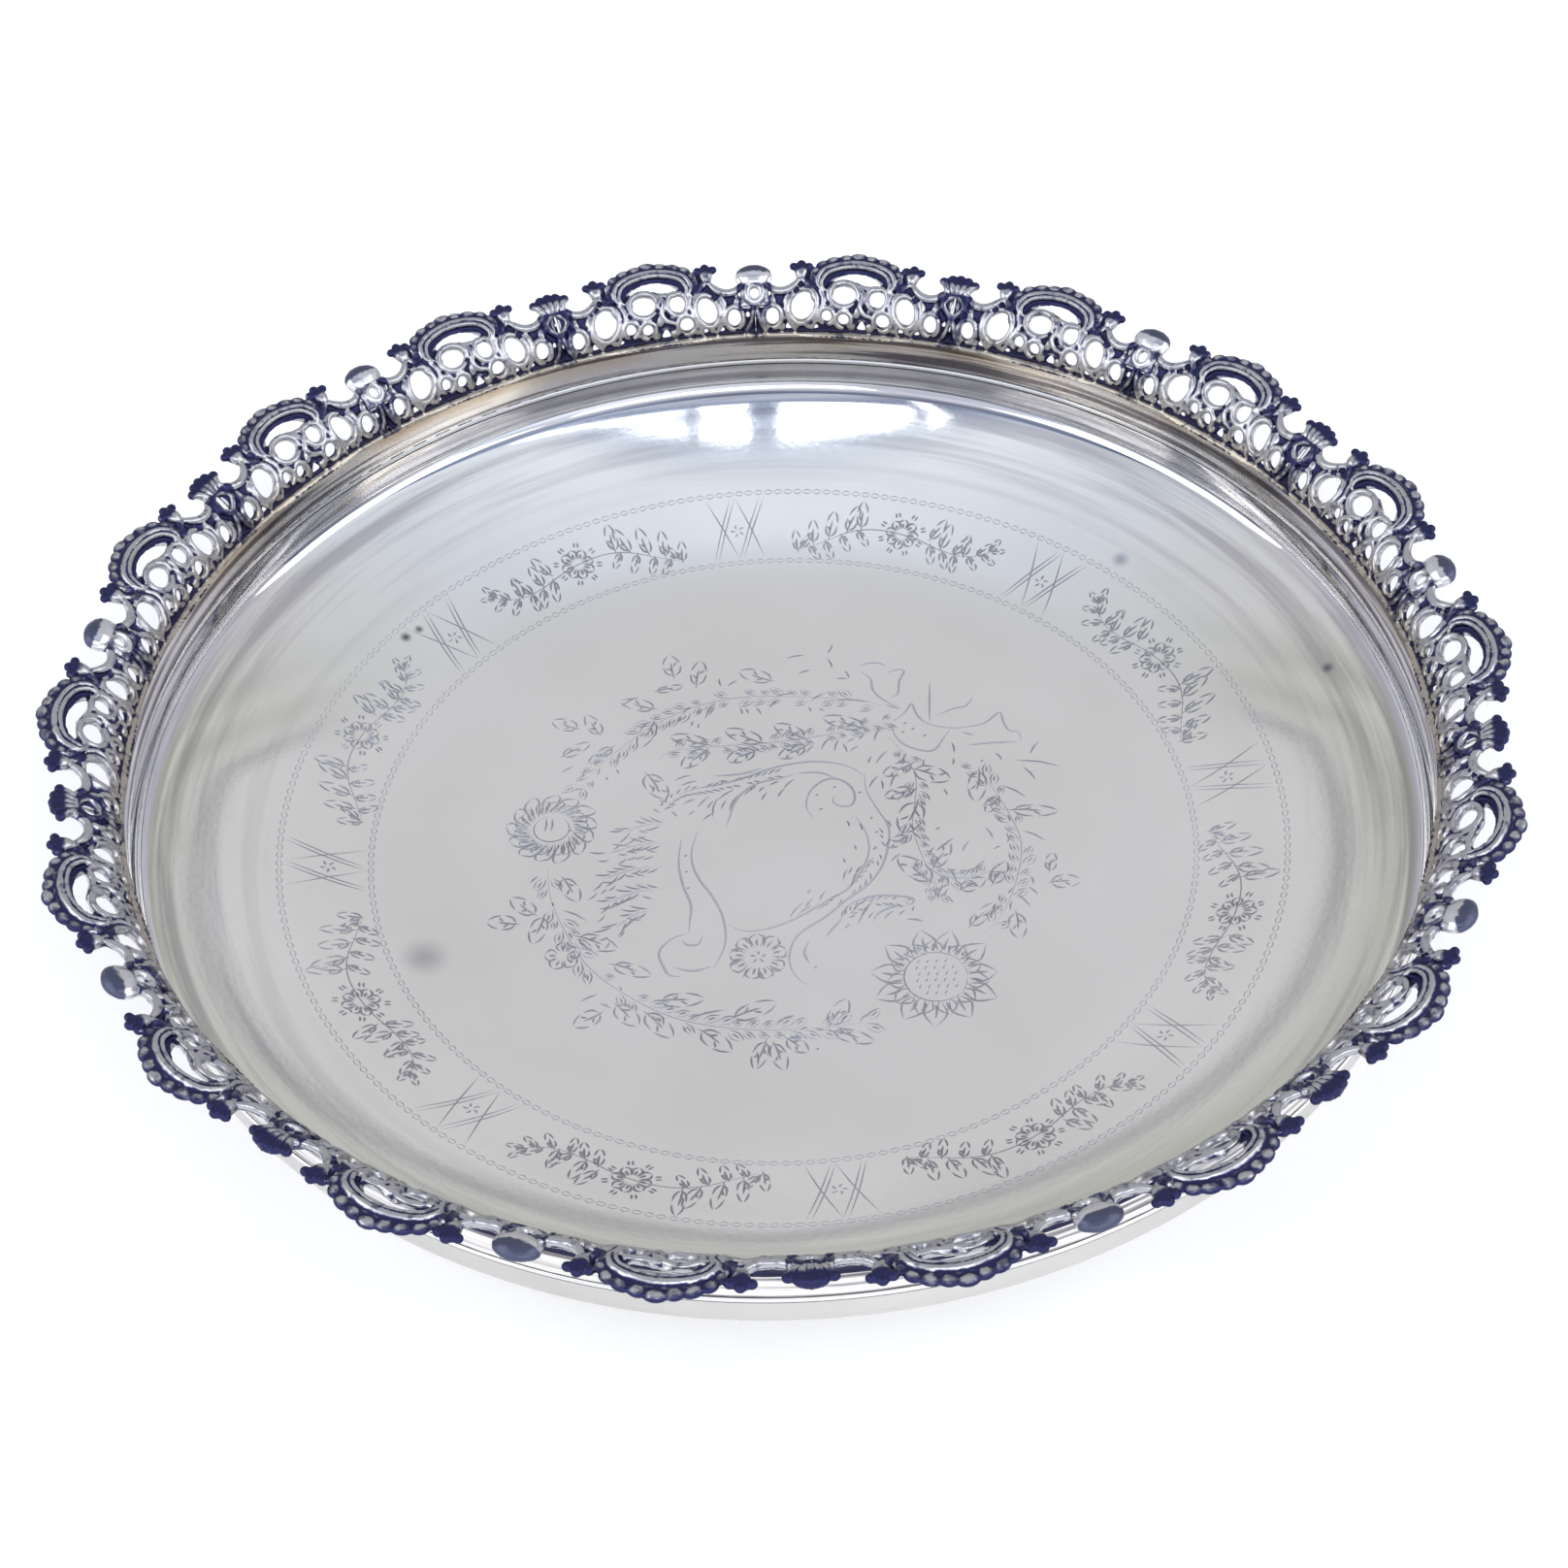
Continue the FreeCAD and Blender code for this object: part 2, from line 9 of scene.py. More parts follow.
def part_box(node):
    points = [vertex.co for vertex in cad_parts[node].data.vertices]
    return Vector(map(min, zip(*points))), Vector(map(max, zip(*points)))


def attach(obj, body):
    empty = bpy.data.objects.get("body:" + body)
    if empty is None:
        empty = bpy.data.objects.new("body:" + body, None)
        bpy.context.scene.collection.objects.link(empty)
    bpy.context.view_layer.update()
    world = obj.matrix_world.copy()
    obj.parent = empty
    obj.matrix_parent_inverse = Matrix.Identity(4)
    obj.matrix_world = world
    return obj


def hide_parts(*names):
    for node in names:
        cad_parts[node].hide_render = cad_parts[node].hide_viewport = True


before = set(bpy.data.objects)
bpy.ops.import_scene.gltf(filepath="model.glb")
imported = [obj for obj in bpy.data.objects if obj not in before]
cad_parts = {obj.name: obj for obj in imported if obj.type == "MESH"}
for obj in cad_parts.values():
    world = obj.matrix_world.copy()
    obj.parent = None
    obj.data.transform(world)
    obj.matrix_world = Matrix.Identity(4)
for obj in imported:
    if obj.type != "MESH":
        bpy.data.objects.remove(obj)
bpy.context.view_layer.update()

MM = 0.001
rng = np.random.default_rng(7)

# ------------------------------------------------------------------ sizes, in millimetres
WALL_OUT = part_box("gallery_collar")[1][0] / MM
SHEET = 1.2
WALL_IN = WALL_OUT - SHEET
# where the wall ends below the seam wire, and where the wire and the collar end above it
WALL_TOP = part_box("seam_wire")[0][2] / MM
SEAM_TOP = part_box("seam_wire")[1][2] / MM
COLLAR_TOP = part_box("gallery_collar")[1][2] / MM
# the dish: a flat middle, a bend of radius FLOOR_CURVE up to the first slope, a slack bend up to
# the second, and a tight CORNER into the wall
FLOOR_R = 72.5
FLOOR_CURVE = 94.0
BOUGE_SLOPE = math.radians(18.3)
BOUGE_RISE = math.radians(24.0)
CORNER = 4.0
# the gallery flares over a quarter of an oval, outwards by REACH and upwards by RISE
GALLERY_BASE = COLLAR_TOP + 1.0
REACH = 16.6
RISE = 12.9
GALLERY_CENTRE = WALL_IN + SHEET / 2 + REACH
# the radius at which a millimetre of the gallery's pattern is a millimetre of the rim
PATTERN_R = 150.0
# the sections' joints run clockwise from the first, in degrees anticlockwise from +X
SECTIONS = 9
ARCH_ANGLE = 20.0
SECTION_ANGLE = 40.0
FIRST_JOINT = 91.18
HALF_PITCH = math.radians(ARCH_ANGLE / 2) * PATTERN_R
# how many sides a turned shape has
AROUND = 360


# ------------------------------------------------------------------ shared helpers
def new_object(name, verts, faces, smooth=True):
    mesh = bpy.data.meshes.new(name)
    mesh.from_pydata([tuple(v) for v in verts], [], faces)
    mesh.validate()
    if smooth:
        mesh.shade_smooth()
    obj = bpy.data.objects.new(name, mesh)
    bpy.context.scene.collection.objects.link(obj)
    return obj


def polar(radius, angle, x=0.0, y=0.0):
    return (x + radius * math.cos(angle), y + radius * math.sin(angle))


def circle(radius, count, shift=0.0):
    """Places spread evenly round a circle, the first turned on by shift steps."""
    return [polar(radius, math.tau * (k + shift) / count) for k in range(count)]


def smooth_path(points, per_span=6, closed=False):
    """A Catmull-Rom curve through points, sampled per_span times between neighbours."""
    pts = np.asarray(points, float)
    if closed:
        pts = np.vstack([pts[-1], pts, pts[0], pts[1]])
    else:
        pts = np.vstack([2 * pts[0] - pts[1], pts, 2 * pts[-1] - pts[-2]])
    out = []
    for i in range(1, len(pts) - 2):
        for k in range(per_span):
            u = k / per_span
            a, b, c, d = pts[i - 1], pts[i], pts[i + 1], pts[i + 2]
            out.append(0.5 * (2 * b + (c - a) * u + (2 * a - 5 * b + 4 * c - d) * u * u
                              + (3 * b - a - 3 * c + d) * u ** 3))
    if not closed:
        out.append(pts[-2])
    return np.array(out)


# ------------------------------------------------------------------ the dish's section
def climb(start, bend, from_slope, to_slope, steps):
    """Points along an arc of radius bend while its slope grows, its start left out."""
    points = []
    for k in range(1, steps + 1):
        slope = from_slope + (to_slope - from_slope) * k / steps
        points.append((start[0] + bend * (math.sin(slope) - math.sin(from_slope)),
                       start[1] + bend * (math.cos(from_slope) - math.cos(slope))))
    return points


def dish_points():
    """The inner face of the dish from the middle to the upright wall as (radius, height)."""
    pts = [(0.0, SHEET), (FLOOR_R, SHEET)]
    pts += climb(pts[-1], FLOOR_CURVE, 0.0, BOUGE_SLOPE, 24)
    corner_r = WALL_IN - CORNER + CORNER * math.sin(BOUGE_RISE)
    bouge_curve = (corner_r - pts[-1][0]) / (math.sin(BOUGE_RISE) - math.sin(BOUGE_SLOPE))
    pts += climb(pts[-1], bouge_curve, BOUGE_SLOPE, BOUGE_RISE, 16)
    pts += climb(pts[-1], CORNER, BOUGE_RISE, math.pi / 2, 10)
    return pts


DISH = dish_points()
DISH_R = np.array([r for r, _ in DISH])
DISH_Z = np.array([z for _, z in DISH])
DISH_SLOPE = np.gradient(DISH_Z, DISH_R)


def floor_height(radius):
    return float(np.interp(radius, DISH_R, DISH_Z))


# ------------------------------------------------------------------ camera
# fitted to the tray's rings as the photograph shows them
ELEVATION = math.radians(45.54)
ROLL = math.radians(-1.94)
EYE_DISTANCE = 612.82 * MM
AIM = Vector((3.52, 10.76, 7.4)) * MM
LENS = 60.77
SHIFT = -0.008


def add_camera():
    data = bpy.data.cameras.new("camera")
    data.sensor_width = 36
    data.lens = LENS
    data.shift_x = SHIFT
    data.clip_start = 0.01
    camera = bpy.data.objects.new("camera", data)
    bpy.context.scene.collection.objects.link(camera)
    back = Vector((0, -math.cos(ELEVATION), math.sin(ELEVATION)))
    lean = Matrix.Rotation(math.pi / 2 - ELEVATION, 4, "X") @ Matrix.Rotation(ROLL, 4, "Z")
    camera.matrix_world = Matrix.Translation(AIM + EYE_DISTANCE * back) @ lean
    bpy.context.scene.camera = camera


add_camera()


# ------------------------------------------------------------------ shader nodes
class Shading:
    """Adds nodes to a material or the world. A value is a number, a colour or a node's output."""

    def __init__(self, owner, shader="Principled BSDF"):
        owner.use_nodes = True
        self.tree = owner.node_tree
        self.shader = self.tree.nodes[shader]

    def feed(self, socket, value):
        if isinstance(value, bpy.types.NodeSocket):
            self.tree.links.new(value, socket)
        else:
            socket.default_value = value

    def set(self, name, value):
        """Feeds one of the shader's own sockets."""
        self.feed(self.shader.inputs[name], value)

    def now(self, name):
        """The output that feeds one of the shader's sockets so far."""
        return self.shader.inputs[name].links[0].from_socket

    def add(self, kind, output, inputs, **settings):
        node = self.tree.nodes.new("ShaderNode" + kind)
        for name, setting in settings.items():
            setattr(node, name, setting)
        for name, value in inputs.items():
            self.feed(node.inputs[name], value)
        return node.outputs[output]

    def place(self):
        return self.add("TexCoord", "Object", {})

    def part(self, where, axis):
        return self.add("SeparateXYZ", axis, {"Vector": where})

    def layer(self, name):
        return self.add("Attribute", "Fac", {}, attribute_name=name)

    def noise(self, where, scale, detail, rough=0.5):
        return self.add("TexNoise", "Fac",
                        {"Vector": where, "Scale": scale, "Detail": detail, "Roughness": rough})

    def span(self, value, low, high, to_low=0.0, to_high=1.0, ease="LINEAR"):
        """Carries the range from low to high over to another range, and holds its ends."""
        return self.add("MapRange", "Result",
                        {"Value": value, "From Min": low, "From Max": high, "To Min": to_low,
                         "To Max": to_high}, interpolation_type=ease)

    def math(self, operation, *values):
        return self.add("Math", "Value", dict(enumerate(values)), operation=operation)

    def vector(self, operation, output, *values):
        return self.add("VectorMath", output, dict(enumerate(values)), operation=operation)

    def ramp(self, value, stops):
        """A colour ramp through stops of (position, colour)."""
        output = self.add("ValToRGB", "Color", {"Fac": value})
        elements = output.node.color_ramp.elements
        while len(elements) < len(stops):
            elements.new(0.5)
        for element, (position, colour) in zip(elements, stops):
            element.position = position
            element.color = (*colour, 1)
        return output

    def mix(self, share, first, second, blend="MIX"):
        # inputs 6 and 7 and output 2 are the colours of a mix node
        return self.add("Mix", 2, {0: share, 6: first, 7: second}, data_type="RGBA", blend_type=blend)

    def tint(self, share, colour):
        """Multiplies the base colour by another one where share is 1."""
        self.set("Base Color", self.mix(share, self.now("Base Color"), (*colour, 1), "MULTIPLY"))

    def knock(self, height, strength, distance):
        bump = self.add("Bump", "Normal",
                        {"Height": height, "Strength": strength, "Distance": distance})
        self.set("Normal", bump)


# ------------------------------------------------------------------ materials
def silver(name, light, dark, rough, grain=600.0, bump=0.02):
    """Metal whose colour wanders softly between light and dark, with fine polishing marks."""
    mat = bpy.data.materials.new(name)
    s = Shading(mat)
    where = s.place()
    fine = s.noise(where, grain, 3)
    s.set("Metallic", 1.0)
    s.set("Base Color", s.ramp(s.noise(where, 18, 6), [(0.35, dark), (0.65, light)]))
    s.set("Roughness", s.span(fine, 0, 1, rough - 0.05, rough + 0.06))
    s.knock(fine, bump, 0.0005)
    return mat


def cast_silver(name, light, dark, rough, threshold, stain):
    """Cast metal: bright where it stands proud, oxidised blue-black in flecks where its oxide layer
    is high, and stained a warm brown towards its foot. That layer is lowered by painted highlights
    on the crest lobes and painted light on the walls of the openings."""
    mat = bpy.data.materials.new(name)
    s = Shading(mat)
    oxide_and_painted_light = s.layer("oxide_and_painted_light")
    patch = s.noise(s.place(), 560, 5)
    half_tone = [0.3 * a + 0.7 * b for a, b in zip(light, dark)]
    stops = [(threshold, light), (threshold + 0.16, half_tone), (min(threshold + 0.42, 1.0), dark)]
    s.set("Metallic", 1.0)
    s.set("Base Color", s.ramp(s.math("MULTIPLY_ADD", patch, 1.1, oxide_and_painted_light), stops))
    s.tint(s.layer("foot"), stain)
    s.set("Roughness", s.span(oxide_and_painted_light, 0, 1, rough, rough + 0.22))
    s.knock(patch, 0.15, 0.0003)
    return mat


def stain_top(mat, low, high, stain):
    """Lets a warm stain grow over a material between two heights, in patches, on the far side."""
    s = Shading(mat)
    where = s.place()
    grown = s.math("MULTIPLY", s.span(s.part(where, "Z"), low * MM, high * MM),
                   s.span(s.part(where, "Y"), -0.06, 0.05))
    patches = s.span(s.noise(where, 22, 5), 0.40, 0.62)
    s.tint(s.math("MULTIPLY", grown, patches), stain)


def polish_outside(mat, from_radius, to_radius, share):
    """Lowers a material's roughness to a share of itself beyond a radius from the axis."""
    s = Shading(mat)
    level = s.vector("MULTIPLY", "Vector", s.place(), (1, 1, 0))
    fade = s.span(s.vector("LENGTH", "Value", level), from_radius * MM, to_radius * MM, 1.0, share)
    s.set("Roughness", s.math("MULTIPLY", s.now("Roughness"), fade))


def smudge(mat, x, y, radius, shade):
    """Darkens a round spot on the floor, softly to its edge."""
    s = Shading(mat)
    spot = (x * MM, y * MM, floor_height(math.hypot(x, y)) * MM)
    gap = s.vector("DISTANCE", "Value", s.place(), spot)
    s.tint(s.span(gap, 0, radius * MM, 1.0, 0.0, "SMOOTHSTEP"), shade)


def spin_and_reflection_streaks(mat, above, depth, rings, crisp, shade):
    """Darkens level streaks round the wall: spinning marks, and painted reflection streaks. They start
    at a height and reach their full strength over a depth. rings is how many there are to the metre."""
    s = Shading(mat)
    where = s.place()
    level = s.vector("MULTIPLY", "Vector", where, (9, 9, rings))
    streaks = s.span(s.noise(level, 1.0, 5, 0.6), 0.53 - crisp, 0.53 + crisp)
    start = s.span(s.part(where, "Z"), above * MM, (above + depth) * MM)
    # painted reflection streaks, with the spinning marks, darken the base colour
    s.tint(s.math("MULTIPLY", streaks, start), shade)


SATIN = silver("satin_floor", (0.87, 0.87, 0.87), (0.82, 0.82, 0.815), 0.12, bump=0.006)
CUT = silver("graver_cuts", (0.48, 0.48, 0.51), (0.30, 0.30, 0.33), 0.42)
FAINT = silver("faint_cuts", (0.56, 0.56, 0.60), (0.44, 0.44, 0.48), 0.55)
# the outside of the dish: a duller finish, and a darker colour that is painted shade
DULL_AND_SHADED = silver("dull_shaded_outside", (0.70, 0.69, 0.66), (0.62, 0.61, 0.58), 0.34, grain=120.0, bump=0.004)
BRIGHT = silver("bright_wall", (0.88, 0.87, 0.85), (0.82, 0.81, 0.78), 0.14)
TARNISH = silver("tarnished_seam", (0.12, 0.11, 0.10), (0.05, 0.05, 0.05), 0.45)
COLLAR = silver("stained_collar", (0.95, 0.94, 0.92), (0.90, 0.87, 0.82), 0.13)
CAST = cast_silver("cast_gallery", (0.48, 0.48, 0.50), (0.036, 0.038, 0.105), 0.30, 0.60,
                   (0.92, 0.84, 0.68))
WORN = cast_silver("worn_finial", (0.66, 0.66, 0.68), (0.10, 0.11, 0.17), 0.30, 0.76,
                   (0.95, 0.78, 0.50))
# how the dish's faces look, by the number of the material
PLAIN, DARK_CUT, FAINT_CUT, OUTSIDE = range(4)
DISH_LOOKS = (SATIN, CUT, FAINT, DULL_AND_SHADED)

# the bouge is polished, and level streaks run round it and round the collar: spinning marks, and painted
# reflection streaks
polish_outside(SATIN, 109, 114, 0.4)
spin_and_reflection_streaks(SATIN, 10.0, 10.0, 600, 0.09, (0.62, 0.61, 0.64))
spin_and_reflection_streaks(COLLAR, 30.0, 0.5, 420, 0.05, (0.22, 0.21, 0.23))
# stains on the floor and the bouge as (x, y, radius, shade)
for stain in ((-91, 64, 2.0, (0.16, 0.16, 0.18)), (-88, 67, 1.6, (0.22, 0.22, 0.24)),
              (-80, -34, 7.0, (0.66, 0.66, 0.68)), (86, 81, 3.0, (0.55, 0.58, 0.66)),
              (129, 33, 2.2, (0.35, 0.37, 0.46))):
    smudge(SATIN, *stain)
stain_top(COLLAR, 32.5, COLLAR_TOP, (0.78, 0.62, 0.40))

# the CAD's own pieces
node_looks = {"dish": SATIN, "gallery_collar": COLLAR, "seam_wire": BRIGHT}
for node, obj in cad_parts.items():
    obj.data.materials.clear()
    obj.data.materials.append(node_looks.get(node, CAST))


# ------------------------------------------------------------------ engraving tools
class Graver:
    """Tapered V-shaped cuts in the plan of the floor, in millimetres."""

    def __init__(self):
        self.verts = []
        self.edges = []
        self.cuts = []
        self.faint = []
        self.depths = []

    def point(self, x, y, depth=0.0):
        self.verts.append((float(x), float(y)))
        self.depths.append(depth)
        return len(self.verts) - 1

    def cut(self, path, width=0.5, depth=0.11, per_span=3, swell=0.5, faint=False):
        """One stroke: it starts and ends at a point and is widest at the share swell of its length.
        A faint one has caught less dirt."""
        p = smooth_path(path, per_span)
        n = len(p)
        ahead = np.gradient(p, axis=0)
        ahead /= np.maximum(np.linalg.norm(ahead, axis=1), 1e-9)[:, None]
        side = np.stack([-ahead[:, 1], ahead[:, 0]], 1)
        start = self.point(*p[0])
        left = []
        right = []
        middle = [start]
        for i in range(1, n - 1):
            u = i / (n - 1)
            share = u / swell if u < swell else (1 - u) / (1 - swell)
            fat = 0.5 * width * min(1.0, 0.25 + 1.1 * share)
            middle.append(self.point(*p[i], depth * min(1.0, 0.4 + share)))
            left.append(self.point(*(p[i] + side[i] * fat)))
            right.append(self.point(*(p[i] - side[i] * fat)))
        end = self.point(*p[-1])
        middle.append(end)
        self.edges.extend(zip(middle[:-1], middle[1:]))
        self.cuts.append([start] + right + [end] + left[::-1])
        self.faint.append(faint)

    def leaf(self, x, y, heading, length, width, veins=2, weight=0.5):
        """A leaf outlined by two bowed cuts, with a rib and slanting veins. heading is in degrees
        anticlockwise from +X, and (x, y) is its stalk end."""
        at = local_plan(x, y, heading, length)
        wide = 0.86 * width / length
        for side in (-1, 1):
            edge = side * wide
            self.cut([at(0.04, 0), at(0.2, edge * 0.38), at(0.5, edge * 0.5)], weight)
            self.cut([at(0.56, edge * 0.5), at(0.82, edge * 0.32), at(1, edge * 0.05)],
                     weight * 0.9, swell=0.4)
        self.cut([at(-0.12, 0), at(0.25, 0.03), at(0.66, 0)], weight, swell=0.7)
        for k in range(veins):
            u = 0.26 + 0.2 * k
            edge = wide if k % 2 == 0 else -wide
            self.cut([at(u, edge * 0.06), at(u + 0.1, edge * 0.2), at(u + 0.17, edge * 0.36)], weight)

    def leaflet(self, x, y, heading, length, weight):
        """A narrow leaf of two bowed cuts and a short rib."""
        at = local_plan(x, y, heading, length)
        self.cut([at(0.05, 0.05), at(0.5, 0.2), at(0.95, 0.04)], weight, per_span=2, swell=0.6)
        self.cut([at(0.1, -0.05), at(0.5, -0.19), at(0.9, -0.03)], weight, per_span=2, faint=True)
        self.cut([at(0.3, 0.0), at(0.5, 0.02), at(0.72, 0.01)], weight * 1.2, per_span=2)

    def fringe(self, path, spacing, reach, lean, weight, keep, leafy=False):
        """Short slanted cuts or leaflets along both sides of a path, some left out at random."""
        p = smooth_path(path, 14)
        run = np.concatenate([[0], np.cumsum(np.linalg.norm(np.diff(p, axis=0), axis=1))])
        tilt = math.radians(lean)
        for s in np.arange(spacing, run[-1], spacing):
            here = np.array([np.interp(s, run, p[:, 0]), np.interp(s, run, p[:, 1])])
            near = np.array([np.interp(s - 0.3, run, p[:, 0]), np.interp(s - 0.3, run, p[:, 1])])
            ahead = (here - near) / max(np.linalg.norm(here - near), 1e-9)
            for side in (-1, 1):
                size = reach * rng.uniform(0.7, 1.15)
                if rng.random() > keep:
                    continue
                across = np.array([-ahead[1], ahead[0]]) * side
                base = here + across * 0.5 + ahead * (0.3 * side)
                tip = base + (ahead * math.cos(tilt) + across * math.sin(tilt)) * size
                if leafy:
                    heading = math.degrees(math.atan2(*(tip - base)[::-1]))
                    self.leaflet(*base, heading, size, weight)
                else:
                    self.flick(*base, *tip, weight)

    def pair(self, x, y, heading):
        """Two short cuts side by side."""
        at = local_plan(x, y, heading, 1.65)
        for v in (-0.27, 0.27):
            self.cut([at(0, v), at(0.5, v + 0.08), at(1, v)], 0.55)

    def flick(self, x1, y1, x2, y2, weight=0.5):
        """One quick short cut, a little bowed."""
        bow_x = (y1 - y2) * 0.07
        bow_y = (x2 - x1) * 0.07
        middle = ((x1 + x2) / 2 + bow_x, (y1 + y2) / 2 + bow_y)
        self.cut([(x1, y1), middle, (x2, y2)], weight, per_span=2)

    def flower(self, x, y, radius, petals, eye_share, pointed=False, weight=0.5, turn=0.0, swirl=0.0):
        """Petals round an eye. Their tips are turned on by swirl, in radians."""
        half = math.pi / petals * 0.84
        inner = radius * eye_share
        for k in range(petals):
            a = turn + math.tau * (k + rng.uniform(-0.1, 0.1)) / petals

            def at(r, da):
                return polar(r, a + da + swirl * (r - inner) / (radius - inner), x, y)

            tip = radius * (1.1 if pointed else 1.0) * rng.uniform(0.94, 1.05)
            bulge = (tip + inner) * (0.5 if pointed else 0.6)
            self.cut([at(inner, -half * 0.7), at(bulge, -half), at(tip, 0)], weight)
            self.cut([at(inner, half * 0.7), at(bulge, half), at(tip, 0)], weight)
            self.cut([at(inner * 1.1, 0), at((inner + tip) * 0.45, half * 0.12),
                      at((inner + tip) * 0.56, 0)], weight * 1.1)

    def spiral(self, x, y, radius, start, sweep, shrink, weight, count):
        """A line that runs round a middle and ends at the share shrink of its first radius."""
        path = []
        for k in range(count):
            share = k / (count - 1)
            path.append(polar(radius * (1 - (1 - shrink) * share), math.radians(start + sweep * share),
                              x, y))
        self.cut(path, weight, 0.1, per_span=5)


def local_plan(x, y, heading, length):
    """Places along and beside a leaf, as shares of its length."""
    c = math.cos(math.radians(heading)) * length
    s = math.sin(math.radians(heading)) * length

    def at(u, v):
        return (x + c * u - s * v, y + s * u + c * v)

    return at


# ------------------------------------------------------------------ the engraved wreath
# Leaves are (stalk x, stalk y, heading, length, width), and flicks are (x, y, x, y) from end to end.
OUTER_STEM = [
    [(27, 42), (16, 45), (4, 46.5), (-8, 47), (-18, 45), (-28, 40), (-36, 33), (-43, 25), (-48, 17)],
    [(-54, -7), (-53, -16), (-50, -25), (-44, -37), (-35, -46), (-24, -53), (-10, -56.5), (5, -57),
     (18, -55.5)],
    [(44, -32), (49, -25), (53, -14), (54.5, -4), (52.5, 5), (49.5, 13), (46, 20)],
]
INNER_STEM = [
    [(-29.5, 26), (-26.5, 29), (-20, 30), (-10, 30.6), (0, 31.2), (11, 33), (21, 35.6), (27, 37)],
    [(25.5, 32), (29, 26), (31.5, 18), (31, 10), (30, 2), (31.5, -7), (34, -15), (34.5, -20)],
    [(33, -12), (38, -14.5), (43, -14.5), (48, -12)],
]
OUTER_LEAVES = [
    (-25.5, 55, 100, 8, 5), (-20, 51.5, 84, 9, 4.5), (-30, 50, 14, 7, 2.6), (-1.5, 52.5, 155, 9, 5),
    (-30, 44, 160, 9, 4.6), (-48.5, 38, 155, 7, 4.5), (-43, 35.5, 118, 8, 4), (-52, 28.5, 35, 8, 3.6),
    (-30.3, 40, 250, 10, 4.6), (-40, 31.5, 225, 8, 3.4), (-50.5, -10.5, -62, 8.5, 4.6),
    (-56, -21.5, 138, 8, 4.6), (-60, -24, 172, 7, 5), (-54.3, -22, 256, 8.5, 4.6),
    (-46.5, -28.5, -24, 10, 5), (-38.5, -37, -22, 9.5, 4), (-40.5, -50.5, 212, 7, 5),
    (-37.5, -48.5, -50, 8, 5), (-31, -51, -50, 9.5, 5), (-28, -48, 2, 10, 4.6), (-19, -56.5, -42, 9, 5),
    (-12, -53.5, 24, 10.5, 5), (-5, -60, 252, 8, 4), (-3.4, -60.5, 288, 8, 4), (9, -56.5, 62, 8.5, 4.6),
    (9.5, -58, -20, 9.5, 4), (-0.5, -59.5, -40, 6, 4), (41, -29.5, 50, 9, 3.6),
    (51.5, -25.5, -88, 8, 4.6), (60, -17, 5, 7, 4.6), (60.2, -13.5, 78, 6, 3), (53, 6, -4, 11, 4.2),
    (46.5, 19.5, 262, 10.5, 5), (39.5, -18.5, 30, 7, 4), (47, -17, 62, 8, 3.6), (50.5, 10.5, 236, 6, 3),
]
INNER_LEAVES = [
    (-17, 31, 160, 10, 4.6), (-17.5, 29.5, 225, 8.5, 5), (-4, 31, 152, 10.5, 5),
    (-6, 28.5, 205, 7.5, 5), (6, 32, 145, 9, 5), (6, 29.5, 210, 7.5, 4.6), (20.5, 35, 158, 11, 5),
    (31, 20.5, -24, 9.5, 6), (31.5, 10, 250, 11, 7), (34, -11.5, 62, 9, 4), (33.5, -15.5, 132, 11, 6),
    (34.5, -20.5, 72, 7, 3), (31, 22.5, 208, 8, 4.6), (30.5, 14, 200, 7, 4), (28.5, -1, 215, 6, 3.4),
    (-32, 22, 300, 10, 5.6),
]
